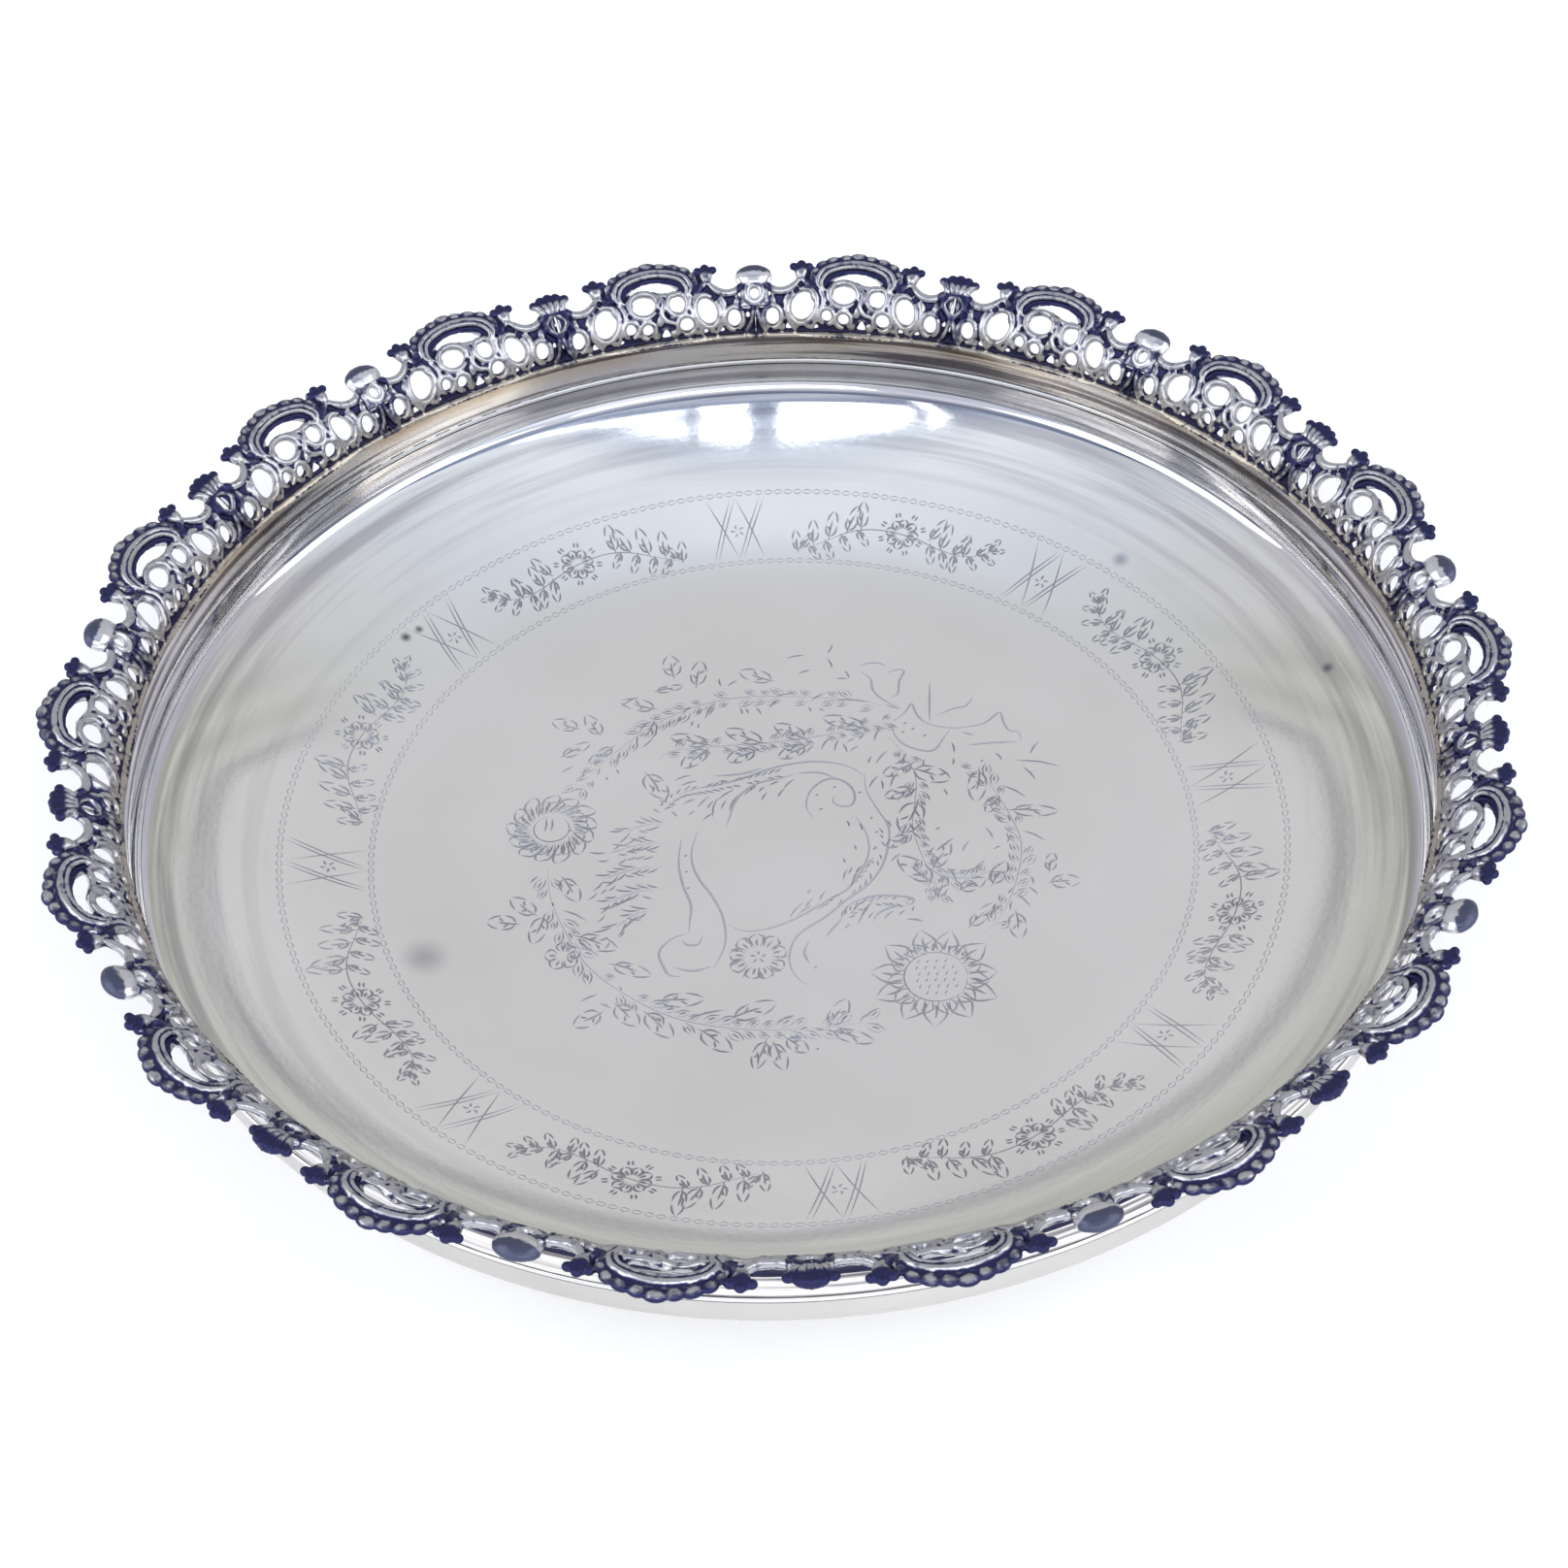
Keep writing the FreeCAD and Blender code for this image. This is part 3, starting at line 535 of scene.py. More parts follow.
OUTER_FLICKS = [
    (-14, 51, -14.5, 54), (-12.5, 51, -10, 53), (-38.5, 45, -34, 48.4), (-38.5, 29.4, -39.2, 26),
    (-43, 27.4, -44.2, 25), (-46.5, 24.4, -47, 21.4), (-43, 24.4, -43.5, 22), (-39.2, 24.2, -38.4, 22),
    (-52, 23, -49.2, 25.2), (-49.5, 17, -46.2, 17.6), (-41.5, 21.6, -41, 20), (-23.4, 42, -21.2, 44.4),
    (-18, 39.6, -15.4, 45.6), (-19.6, 41.2, -19, 43.8), (-24, 39, -23.6, 41),
    (-26.6, 37.4, -26.2, 39.6), (-21.2, 37.4, -20.8, 39.4), (-19.6, 36.6, -19.4, 38.4),
    (-17, 41, -15.6, 43.4), (-9.6, 43.4, -9, 40.8), (-8.2, 43.2, -7.6, 41), (-5.8, 43.4, -4.4, 40.6),
    (-2.6, 42.6, 0.4, 46), (-1, 46.8, 3, 47.6), (7, 43, 7.6, 41), (9.4, 42, 11, 41.2),
    (7.4, 44.6, 11.4, 47.6), (10, 44.4, 22.4, 43.8), (2, 60.2, 6.6, 61.2), (13.6, 65, 12, 61.4),
    (12, 60, 13.2, 56), (4.4, 54.4, 8.2, 55.8), (16.2, 55.4, 17.2, 52.4), (14, 52.4, 17, 52.2),
    (-57.8, -12, -56, -9.8), (-50.2, -20.4, -44.4, -24), (-52.6, -17.8, -52.2, -19.2),
    (-48.6, -27.2, -47.6, -29.2), (-44.8, -39, -44.2, -40.8), (-36.8, -43.2, -36.2, -44.6),
    (-45.4, -47.6, -41.4, -45.4), (-41, -48, -38.2, -49.6), (-22.6, -55.4, -22.2, -56.8),
    (-22, -53.6, -13.4, -51), (-3.2, -55.6, 1.6, -53), (15.4, -55.4, 17.6, -53.2),
    (2.6, -57.4, 4.2, -56.4), (5.6, -57.2, 7.6, -57.6), (5.6, -62.6, 6.6, -62.8),
    (-7, -62.6, -6.8, -66.8), (46.6, 1, 48.2, -3), (51.4, -4.2, 52.6, -1.8), (47.8, -6.2, 49.8, -5.2),
    (55.2, -0.6, 60.2, -4.2), (55.8, -14.6, 56.2, -17.4), (50.4, -20, 51.6, -18), (52, -20, 55, -24.2),
    (50.4, -25, 51, -22), (55, -18, 57, -20.6), (45.4, -27, 49, -23), (46.4, 7.4, 50, 11),
    (51.4, 14.2, 57, 9.8), (49, 5.4, 50.6, 1.8), (52, 4.8, 52.6, 2.2), (47.2, 22, 47.8, 22.8),
    (40.7, 29.2, 41.1, 25.4), (40.8, 23.8, 40.5, 21.4), (50.8, 25.2, 52.2, 22.4), (59, 24, 61.6, 28.6),
    (55, 22.2, 66, 19.6), (56.8, 20.2, 59.6, 15.4), (43, -12.6, 46, -9.4), (46, -16, 48.8, -10.4),
    (40.8, -6.8, 43, -2.8),
]
INNER_FLICKS = [
    (9.6, 27.8, 12, 32.2), (12.8, 27.2, 14.2, 31.8), (14.6, 30.2, 15.8, 26.6), (15.8, 30.2, 17.8, 31.4),
    (16.4, 27.2, 18.6, 28.8), (18.8, 31, 20.2, 32.8), (22.4, 30.2, 24, 34.8), (2, 27.8, 4.6, 30),
    (6, 27, 8, 29.6), (20.6, 22.8, 21.6, 25.4), (22.4, 22.6, 25.6, 27.2), (28.6, 22.2, 30, 26.2),
    (33.6, 20.8, 34, 23.8), (20.4, 14.6, 23, 19), (23.4, 17.4, 23.6, 14), (25.4, 14.6, 27.6, 19.8),
    (26.8, 10.2, 28.6, 12.4), (37.8, 13.8, 38.6, 11.4), (30, 12, 31.8, 14.4), (27.4, -1.2, 29, 3.2),
    (29.4, 0.4, 31.6, -2.2), (35, 0.6, 36.4, 1.2), (33, -7.4, 34.8, -4.6), (36.8, -4.2, 39.2, -2.4),
    (37, -11, 39, -16), (24, 4.4, 25, 1.8), (24.4, -9, 26.8, -6.4),
]
BOW = [
    [(19.8, 56.6), (22, 57.6), (25, 57.4), (26.4, 56)],
    [(19.4, 55.4), (22.4, 52), (22.8, 48), (25.2, 44.4), (29.2, 41.4)],
    [(26, 53.4), (28.5, 54.8), (30.8, 54.4), (29.4, 51), (28.8, 46.4), (26.8, 45.2)],
    [(25.8, 42.8), (27.4, 41.8), (29.4, 41)],
    [(26.8, 36.4), (30, 39.6), (32, 42.8), (32.8, 39.4), (35.2, 35.8), (40.8, 33.4)],
    [(26.8, 36.4), (27.4, 32), (30, 28.4), (34.4, 26.4), (36.8, 27), (38.6, 30), (41, 34)],
    [(35.9, 35.8), (36.3, 43), (36.8, 50.4)],
    [(37, 38), (42, 40.6), (45, 41.4), (47.2, 44.6)],
    [(37, 35), (42, 33.8), (48, 34.8), (50.4, 36.4), (53, 38.8), (53.6, 35), (54.8, 32.4), (57, 31.6),
     (57.2, 28.4)],
    [(57.2, 28.4), (50, 28.4), (43.8, 27.8)],
    [(43.4, 32.4), (44.8, 31.8), (46.4, 31.2)],
]
KNOT_DOTS = [(30, 36), (31.8, 34), (34.5, 31.6), (29.4, 33)]
# the middles of the flowers
BUD = (-49.5, -34)
ROUND_FLOWER = (-53.5, 5)
DAISY = (32.6, -43.6)
TAIL_FLOWER = (-6.2, -36.2)


def engrave_wreath(g):
    for stems, spacing, reach, lean, weight in ((OUTER_STEM, 3.3, 5.0, 34, 0.42),
                                                (INNER_STEM, 2.8, 4.2, 38, 0.46)):
        for stem in stems:
            g.cut(stem, 0.30, 0.05, per_span=7, faint=True)
            g.fringe(stem, spacing, reach, lean, weight, 0.75, leafy=True)
    for leaf in OUTER_LEAVES:
        g.leaf(*leaf, veins=2, weight=0.52)
    for leaf in INNER_LEAVES:
        g.leaf(*leaf, veins=3, weight=0.58)
    for ends in OUTER_FLICKS + INNER_FLICKS:
        g.flick(*ends)
    for line in BOW:
        g.cut(line, 0.56, 0.09, faint=True)
    for x, y in KNOT_DOTS:
        g.flick(x - 0.5, y - 0.3, x + 0.5, y + 0.3)
    g.flower(*BUD, 4.2, 5, 0.3, turn=0.4)
    engrave_round_flower(g, *ROUND_FLOWER)
    engrave_daisy(g, *DAISY)


def engrave_round_flower(g, x, y):
    """Two rings of petals that swirl clockwise, an eye, and hairs over it."""
    g.flower(x, y, 11, 13, 0.42, swirl=-0.42)
    g.flower(x, y, 8.6, 13, 0.56, weight=0.42, turn=0.24, swirl=-0.3)
    g.spiral(x, y, 4.2, 100, 330, 0.96, 0.42, 13)
    for k in range(9):
        a = math.radians(200 + 20 * k)
        g.flick(x + 4.6 * math.cos(a), y - 1 + 5.6 * math.sin(a),
                x + 4.4 * math.cos(a + 0.1), y - 1 + 7.4 * math.sin(a + 0.1))
    for shift in (-1.5, -0.1):
        g.flick(x + shift, y + 3.6, x - 0.2 + shift, y - 1)


def engrave_daisy(g, x, y):
    """Two rings of pointed petals round a hatched eye."""
    g.flower(x, y, 13.2, 11, 0.54, pointed=True, turn=0.1)
    g.flower(x, y, 10.4, 11, 0.66, pointed=True, turn=0.38)
    for k in range(13):
        a = math.radians(20 + 11 * k)
        g.flick(*polar(8.2, a, x, y), *polar(9.8, a + 0.08, x, y), 0.6)
    g.spiral(x, y, 7.0, 0, 358, 1.0, 0.4, 15)
    for row in range(6):
        for k in range(5):
            dx = -4.0 + 2.0 * k + 0.5 * (row % 2)
            dy = -4.4 + 1.8 * row
            if math.hypot(dx, dy) < 5.8:
                g.flick(x + dx - 0.3, y + dy - 0.7, x + dx + 0.3, y + dy + 0.7, 0.34)


SCROLLS = [
    # left side of the frame and its tail
    [(-19.6, 3), (-21, -3), (-20.8, -8), (-19, -13), (-16.4, -17.6), (-14, -24), (-13.4, -31),
     (-14.6, -35.6), (-16.2, -39.4)],
    [(-23.4, 1), (-24, -7), (-23, -14), (-21.2, -20), (-21.4, -25), (-21.6, -28.6)],
    [(-21.6, -28.6), (-25.6, -30.2), (-28.2, -34), (-27, -38.4), (-25.8, -40.6), (-23, -41.2)],
    [(-16.4, -38.4), (-20.6, -39.6), (-25, -38.4)],
    [(-23.2, -30.4), (-22, -31.9), (-19.6, -31.9), (-18.4, -29.2)],
    # right side of the frame and its tail
    [(19.6, 20), (19.8, 14), (22, 8), (24.4, 2), (24, -4), (22.4, -10), (19, -15.6), (14, -20),
     (9, -25), (3.2, -29.6), (1, -34), (0.8, -39), (2.6, -43), (5.2, -45)],
    [(16.8, 6), (19, 1), (19.6, -5), (17.8, -11), (14.4, -16.6), (9, -20.6), (2, -25.4), (-4, -28),
     (-9.5, -28.4), (-13.2, -26)],
    [(5.2, -31.6), (4, -35), (4.4, -37), (5, -38.4)],
    [(13, -25.4), (10.6, -28.4), (8.6, -31.6)],
    # the volute at the top right
    [(7.4, 5.4), (5.8, 8.4), (5.8, 11.6), (7.2, 15.2), (10.4, 18), (13.8, 17.8), (16.4, 15),
     (17, 11.6), (15.8, 9.2), (13, 9.4), (11.8, 11.4), (12.8, 12.8)],
    # the top of the frame
    [(-24.6, 14.6), (-20, 16.4), (-15, 17.4), (-9, 19.4), (-2, 22.4), (5, 24), (11, 23.8),
     (16.4, 21.8), (19.6, 18.6)],
    [(-16.4, 20.4), (-9.6, 20.8), (-4, 22.6)],
    [(3.4, 20.4), (8.8, 20.4), (12.8, 18.4)],
    [(-13.2, 3.6), (-12.2, 7), (-11, 11.6), (-8.8, 15), (-5.4, 17.6), (0, 19), (3.4, 20.2)],
    # acanthus at the lower right
    [(13, -25.2), (14.4, -21.8), (18, -19.8), (22, -19.2), (27, -19.8), (29, -20.8), (28, -22.2),
     (26.8, -21)],
    [(19.4, -27), (21, -24.4), (24, -22.8), (27.4, -22.4)],
]
HATCHING = [
    # inside the top of the frame
    (-15.4, 12, -11, 15.8), (-16.2, 6.8, -15, 13.4), (-18.8, 5.8, -15.8, 8.4),
    (-14.2, 9.4, -12.8, 12.6), (-4.8, 11.8, -3.4, 14.4), (-5.4, 14.6, -4, 16.4), (-1, 12.6, 0.8, 15.6),
    (0.4, 15.4, 3.2, 18.6), (-9, 13.6, -6, 16.4), (-12.4, 8.4, -10.2, 14), (-3, 16.6, -0.4, 18),
    (-17.6, 9.6, -15.8, 12.4), (-7.6, 15.4, -5.8, 16.8),
    # outside the top left
    (-28.8, 12.8, -26.6, 12.2), (-26.6, 11.8, -24.8, 11.2), (-23.4, 11.2, -20, 13.2),
    (-19.8, 10.2, -16.8, 13.8), (-30.2, 10.2, -28.6, 9), (-26, 9.4, -24.4, 7.4),
    (-21.8, 7.8, -20.4, 9.2), (-25.4, 19.2, -21, 21), (-14.8, 18.6, -12.4, 18.4),
    (-24, 17.4, -19.6, 19), (-29.6, 17.4, -28.6, 15.4), (-31.4, 18.8, -30, 16),
    # inside the right of the frame
    (13.6, -7.2, 13.9, -9), (13.4, -14.2, 14.6, -10.4), (15, -16.8, 18.2, -9.2),
    (19, -10.6, 19.6, -8.4), (16.2, -3.2, 16.6, -5), (16.2, -13.4, 17.4, -10),
    (14.8, -12.4, 15.8, -9.8), (14.8, 4.6, 15.4, 2.4), (17.6, 3.6, 18.4, 1), (1, -25, 4.2, -20.4),
    (2.4, -24.6, 6.2, -21.4), (6.8, -23.2, 10.4, -20.8), (7.8, -20.4, 9.4, -16.8), (5.2, -18, 6, -16.4),
    (4.6, -22, 6.4, -19.4), (10.4, -20.6, 11.4, -18.6),
    # acanthus at the lower right
    (12.4, -25.8, 14.2, -21.8), (16, -28.2, 20.8, -19.4), (15, -23.4, 18.8, -20.2),
    (13.2, -28.8, 14.4, -27.4), (17.2, -25.4, 18.8, -22.6), (22, -26.4, 24.4, -23.8),
    (25.4, -25.4, 27, -23.6), (28.6, -24.4, 29, -22.4), (14.6, -24.6, 16.4, -22.2),
    (18.6, -26, 19.8, -24), (27, -26.6, 31, -27.4),
]
LOBE_TIPS = [(-37.4, 2.8), (-40.8, -3.8), (-42, -11.8), (-41, -19.2), (-38.6, -26.6)]
LOBE_ROOTS = [(-26, 5), (-26, -1), (-26.4, -8), (-26.8, -15), (-29, -21)]
# fringes along the top left and down the right of the frame, and on the lower acanthus, as
# (line, spacing, reach, lean, weight, share kept)
LEAFAGE = [
    ([(-29, 9), (-24, 14.5), (-16, 16.5), (-8, 18.4), (0, 20.6)], 1.7, 2.6, 26, 0.5, 0.8),
    ([(21.4, 4), (21.8, -4), (20, -10), (16.6, -15.4), (10, -21.4)], 2.0, 2.2, 24, 0.46, 0.7),
    ([(12.6, -26.4), (16.4, -22.6), (22, -21), (28, -21.8)], 1.6, 2.2, 30, 0.5, 0.85),
]
FRAME_DOTS = [(-22.4, -5), (-22.2, -10), (-21.8, -15), (20.6, 5), (21.6, 0.4), (21.2, -4.6), (20.2, -9),
              (8.2, 13), (9, 8.4), (12.4, 15.4), (18.2, 13.4), (6.3, -39.8)]


def engrave_cartouche(g):
    for line in SCROLLS:
        g.cut(line, 0.62, 0.09, per_span=5, faint=True)
    for ends in HATCHING:
        g.flick(*ends)
    # the acanthus at the left: five feathered lobes
    for (tip_x, tip_y), (root_x, root_y) in zip(LOBE_TIPS, LOBE_ROOTS):
        rib = [(root_x, root_y), ((tip_x + root_x) / 2, (tip_y + root_y) / 2 + 1.4), (tip_x, tip_y)]
        g.cut(rib, 0.4, swell=0.75, faint=True)
        g.fringe(rib, 1.9, 4.2, 26, 0.5, 0.62)
        g.fringe([(x - 1, y - 3.2) for x, y in rib], 2.2, 3.2, 22, 0.45, 0.4)
    for line, spacing, reach, lean, weight, keep in LEAFAGE:
        g.fringe(line, spacing, reach, lean, weight, keep)
    for x, y in FRAME_DOTS:
        g.flick(x - 0.45, y - 0.2, x + 0.45, y + 0.2)
    # the flower between the tails: petals, a ring of flicks between them, and five in its eye
    x, y = TAIL_FLOWER
    g.flower(x, y, 6.8, 9, 0.42, turn=0.2)
    for count, first, inner, outer, lag in ((9, 0.55, 4, 6.8, 0.12), (5, 0.0, 0.6, 2, 0.3)):
        for k in range(count):
            a = first + math.tau * k / count
            g.flick(*polar(inner, a, x, y), *polar(outer, a + lag, x, y))


# ------------------------------------------------------------------ the engraved band
BAND_IN = 94.3
BAND_OUT = 114.0
BAND_MIDDLE = (BAND_IN + BAND_OUT) / 2
PANELS = 8
PANEL_ANGLE = math.tau / PANELS
FIRST_PANEL = math.radians(95.2)
# a spray's stem as (along, out), and its leaves as (along, out, heading, length)
SPRAY_STEM = [(-25, -7), (-19, -4.5), (-12, -1), (-5, 0.5), (4, 0), (13, -1.8), (20, -1.5), (25.5, 2)]
SPRAY_LEAVES = [
    (-25, -7, 100, 6), (-24, -6, 60, 5), (-22, -5.5, -55, 5), (-21, -4.6, 95, 7), (-18, -4, -65, 5.5),
    (-17, -3, 85, 8), (-14, -2, -60, 5.5), (-12.5, -1, 75, 8), (-10, -0.4, -50, 5), (-9, 0.4, 95, 8),
    (9, 0.4, 70, 6.5), (9.5, -1, -70, 6), (12.5, -1.5, 88, 7), (13, -2, -60, 5.5), (16, -2, 65, 6),
    (16.5, -2, -75, 5), (19, -1.7, 100, 6), (20, -1.5, -40, 5), (22, -0.6, 60, 5.5), (23, 0.2, -20, 4.5),
    (25, 1.8, 20, 4), (24.6, 1.6, 75, 4.5),
]
SPRAY_FLOWER = (1.5, 0.4)


def engrave_twist(g, radius, waves):
    """Two lines that cross over and over round a circle, cut in short strokes."""
    for side in (-1, 1):
        for k in range(waves * 2):
            path = []
            for j in range(3):
                u = (k + j / 2) / 2
                path.append(polar(radius + side * 0.62 * math.sin(math.tau * u), math.tau * u / waves))
            g.cut(path, 0.30, 0.04, per_span=2, faint=True)


def engrave_panel(g, centre):
    """Lattice of two crossed pairs of lines, with a small star in the middle."""

    def at(u, v):
        return polar(BAND_MIDDLE + v, centre - u / BAND_MIDDLE)

    for offset in (-3.5, 3.5):
        for lean, shifts in ((-1, (0.0,)), (1, (-0.55, 0.55))):
            for shift in shifts:
                u = offset + shift
                g.cut([at(u - lean * 3.3, -9.0), at(u, 0.0), at(u + lean * 3.3, 9.0)], 0.36, 0.08)
    for j in range(5):
        a = math.tau * j / 5 + 0.4
        g.cut([at(*polar(r, a + lag, 0.0, -0.6)) for r, lag in ((0.5, 0), (1.2, 0.3), (1.9, 0))])


def engrave_spray(g, middle, way):
    """A leafy spray round one flower. way is -1 where it is mirrored."""

    def at(u, v):
        return polar(BAND_MIDDLE + v, middle - way * u / BAND_MIDDLE)

    def turned(heading, u):
        """A heading in the spray's own plane as a heading in plan."""
        tangent = math.degrees(middle - way * u / BAND_MIDDLE) - 90
        return tangent + (heading if way > 0 else 180 - heading)

    g.cut([at(*p) for p in SPRAY_STEM], 0.3, 0.06, per_span=5)
    for u, v, heading, size in SPRAY_LEAVES:
        g.leaf(*at(u, v), turned(heading, u), size * rng.uniform(0.9, 1.1), size * 0.42, 1, 0.55)
    g.flower(*at(*SPRAY_FLOWER), 4.4, 8, 0.3, weight=0.6, turn=middle)
    for j in range(8):
        a = math.tau * (j + 0.5) / 8
        g.pair(*at(*polar(4.6, a, *SPRAY_FLOWER)), turned(math.degrees(a), SPRAY_FLOWER[0]))


def engrave_band(g):
    engrave_twist(g, BAND_IN, 118)
    engrave_twist(g, BAND_OUT, 142)
    for k in range(PANELS):
        centre = FIRST_PANEL - PANEL_ANGLE * k
        engrave_panel(g, centre)
        engrave_spray(g, centre - PANEL_ANGLE / 2, 1 if k % 2 == 0 else -1)


# ------------------------------------------------------------------ the dish
EDGE_R = 118.0
FILL_STEP = 3.6
WALL_BEVEL = 0.1


def face_look(g, cuts):
    """The look of a face that lies within these strokes, or within none."""
    if not cuts:
        return PLAIN
    return FAINT_CUT if all(g.faint[c] for c in cuts) else DARK_CUT


def engraved_plan():
    """Cuts the middle of the dish up along every stroke and lowers it along their middles. Returns
    its points, its faces, the look of each face and the points round its edge."""
    g = Graver()
    engrave_wreath(g)
    engrave_cartouche(g)
    engrave_band(g)
    edge = [g.point(x, y) for x, y in circle(EDGE_R, AROUND)]
    lines = g.edges + list(zip(edge, edge[1:] + edge[:1]))
    # loose points keep the plain stretches in small faces
    radius = 3.5
    while radius < EDGE_R - 2:
        for x, y in circle(radius, max(8, int(math.tau * radius / FILL_STEP)), 0.5 * (int(radius) % 2)):
            g.point(x, y)
        radius += FILL_STEP
    plan = [Vector(v) for v in g.verts]
    # output kind 0 keeps every face, and the last flag asks which input each point came from
    verts, _, faces, origin, _, owners = delaunay_2d_cdt(plan, lines, g.cuts, 0, 1e-4, True)
    points = []
    made_from = {}
    for i, (v, sources) in enumerate(zip(verts, origin)):
        depth = max([g.depths[s] for s in sources if s < len(g.depths)], default=0.0)
        made_from.update({s: i for s in sources})
        points.append((v.x, v.y, floor_height(math.hypot(v.x, v.y)) - depth))
    looks = [face_look(g, cuts) for cuts in owners]
    return points, list(faces), looks, [made_from[e] for e in edge]


def underside():
    """Every second row of the section, a sheet's thickness lower, from the middle outwards."""
    rows = []
    for (r, z), slope in zip(DISH[1::2], DISH_SLOPE[1::2]):
        lean = math.atan(slope)
        rows.append((min(r + SHEET * math.sin(lean), WALL_OUT), max(z - SHEET * math.cos(lean), 0.0)))
    rows[-1] = (WALL_OUT, DISH[-1][1])
    return rows


def smooth_plain_floor(mesh, cut_faces, looks):
    """Gives the plain faces of the plan the normals of the turned dish, and the strokes their own
    flat ones. The remaining faces keep theirs."""
    normals = []
    for face in mesh.polygons:
        if face.index >= cut_faces:
            normals += [(0, 0, 0)] * len(face.vertices)
        elif looks[face.index] != PLAIN:
            normals += [tuple(face.normal)] * len(face.vertices)
        else:
            for v in face.vertices:
                x, y, _ = mesh.vertices[v].co
                r = max(math.hypot(x, y), 1e-9)
                slope = float(np.interp(r / MM, DISH_R[1:], DISH_SLOPE[1:]))
                normals.append(tuple(Vector((-slope * x / r, -slope * y / r, 1)).normalized()))
    mesh.normals_split_custom_set(normals)


def build_dish():
    """One closed sheet: the engraved plan, the turned bouge and wall, and the plain underside."""
    points, faces, looks, previous = engraved_plan()
    cut_faces = len(faces)
    inner = [(r, z) for r, z in DISH if r > EDGE_R + 0.5]
    inner += [(WALL_IN, WALL_TOP - WALL_BEVEL), (WALL_IN + WALL_BEVEL, WALL_TOP)]
    outer = [(WALL_OUT - WALL_BEVEL, WALL_TOP), (WALL_OUT, WALL_TOP - WALL_BEVEL)] + underside()[::-1]
    for i, (r, z) in enumerate(inner + outer):
        row = list(range(len(points), len(points) + AROUND))
        points += [(x, y, z) for x, y in circle(r, AROUND)]
        for k in range(AROUND):
            m = (k + 1) % AROUND
            faces.append((previous[k], previous[m], row[m], row[k]))
        looks += [PLAIN if i < len(inner) else OUTSIDE] * AROUND
        previous = row
    points.append((0.0, 0.0, 0.0))
    faces += [(previous[k], previous[(k + 1) % AROUND], len(points) - 1) for k in range(AROUND)]
    looks += [OUTSIDE] * AROUND
    dish = new_object("engraved_dish", [(x * MM, y * MM, z * MM) for x, y, z in points],
                      [tuple(f) for f in faces])
    for mat in DISH_LOOKS:
        dish.data.materials.append(mat)
    dish.data.polygons.foreach_set("material_index", looks)
    dish.data.set_sharp_from_angle(angle=math.radians(40))
    smooth_plain_floor(dish.data, cut_faces, looks)
    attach(dish, "root")
    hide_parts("dish")


build_dish()


# ------------------------------------------------------------------ the seam
def turned_ring(name, profile, mats):
    """A ring turned from a closed profile of (radius, height, material of the side that follows)."""
    verts = []
    for k in range(AROUND):
        a = math.tau * k / AROUND
        verts += [(r * math.cos(a) * MM, r * math.sin(a) * MM, z * MM) for r, z, _ in profile]
    n = len(profile)
    faces = []
    for k in range(AROUND):
        m = (k + 1) % AROUND
        faces += [(k * n + i, m * n + i, m * n + (i + 1) % n, k * n + (i + 1) % n) for i in range(n)]
    obj = new_object(name, verts, faces)
    for mat in mats:
        obj.data.materials.append(mat)
    obj.data.polygons.foreach_set("material_index", [look for _, _, look in profile] * AROUND)
    obj.data.set_sharp_from_angle(angle=math.radians(50))
    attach(obj, "root")
    return obj


# one face of the seam as (how far it stands off the wall, height, 1 where a dark line follows)
reeds = [(0.03, WALL_TOP - 0.34, 1), (0.03, WALL_TOP, 0), (0.26, WALL_TOP + 0.2, 0),
         (0.34, WALL_TOP + 0.6, 0), (0.26, SEAM_TOP - 0.2, 0), (0.03, SEAM_TOP, 1),
         (0.03, SEAM_TOP + 0.34, 0)]
inside = [(WALL_IN - off, z, dark) for off, z, dark in reeds]
outside = [(WALL_OUT + off, z, reeds[i - 1][2]) for i, (off, z, _) in enumerate(reeds)]
seam = turned_ring("seam_bead", inside + outside[::-1], [BRIGHT, TARNISH])
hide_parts("seam_wire")


# ------------------------------------------------------------------ the gallery's flared surface
# A pattern point is (across, rise, proud): millimetres along the rim to the right as seen from
# inside the tray, up the surface from its foot, and off the surface towards the viewer.
TURNS = np.linspace(0, math.pi / 2, 400)
STEP = np.hypot(REACH * np.sin(TURNS), RISE * np.cos(TURNS)) * (TURNS[1] - TURNS[0])
RUN = np.concatenate([[0], np.cumsum((STEP[1:] + STEP[:-1]) / 2)])


def flared(points):
    """Pattern points as places on the rim, in metres. The pattern's middle lies towards +X."""
    p = np.asarray(points, float)
    turn = np.interp(p[:, 1], RUN, TURNS)
    past = np.maximum(p[:, 1] - RUN[-1], 0)
    below = np.minimum(p[:, 1], 0)
    length = np.hypot(REACH * np.sin(turn), RISE * np.cos(turn))
    radius = GALLERY_CENTRE - REACH * np.cos(turn) + past - p[:, 2] * RISE * np.cos(turn) / length
    height = GALLERY_BASE + RISE * np.sin(turn) + below + p[:, 2] * REACH * np.sin(turn) / length
    angle = -p[:, 0] / PATTERN_R
    return np.stack([radius * np.cos(angle), radius * np.sin(angle), height], 1) * MM


def within(x, y, loop):
    """Which of the points (x, y) lie inside a closed loop."""
    odd = np.zeros(len(x), bool)
    for (x1, y1), (x2, y2) in zip(loop, loop[1:] + loop[:1]):
        if y1 != y2:
            odd ^= ((y1 > y) != (y2 > y)) & (x < x1 + (y - y1) * (x2 - x1) / (y2 - y1))
    return odd


# how far the middle of a line stands off the surface where its path doesn't say
LINE_PROUD = 0.3


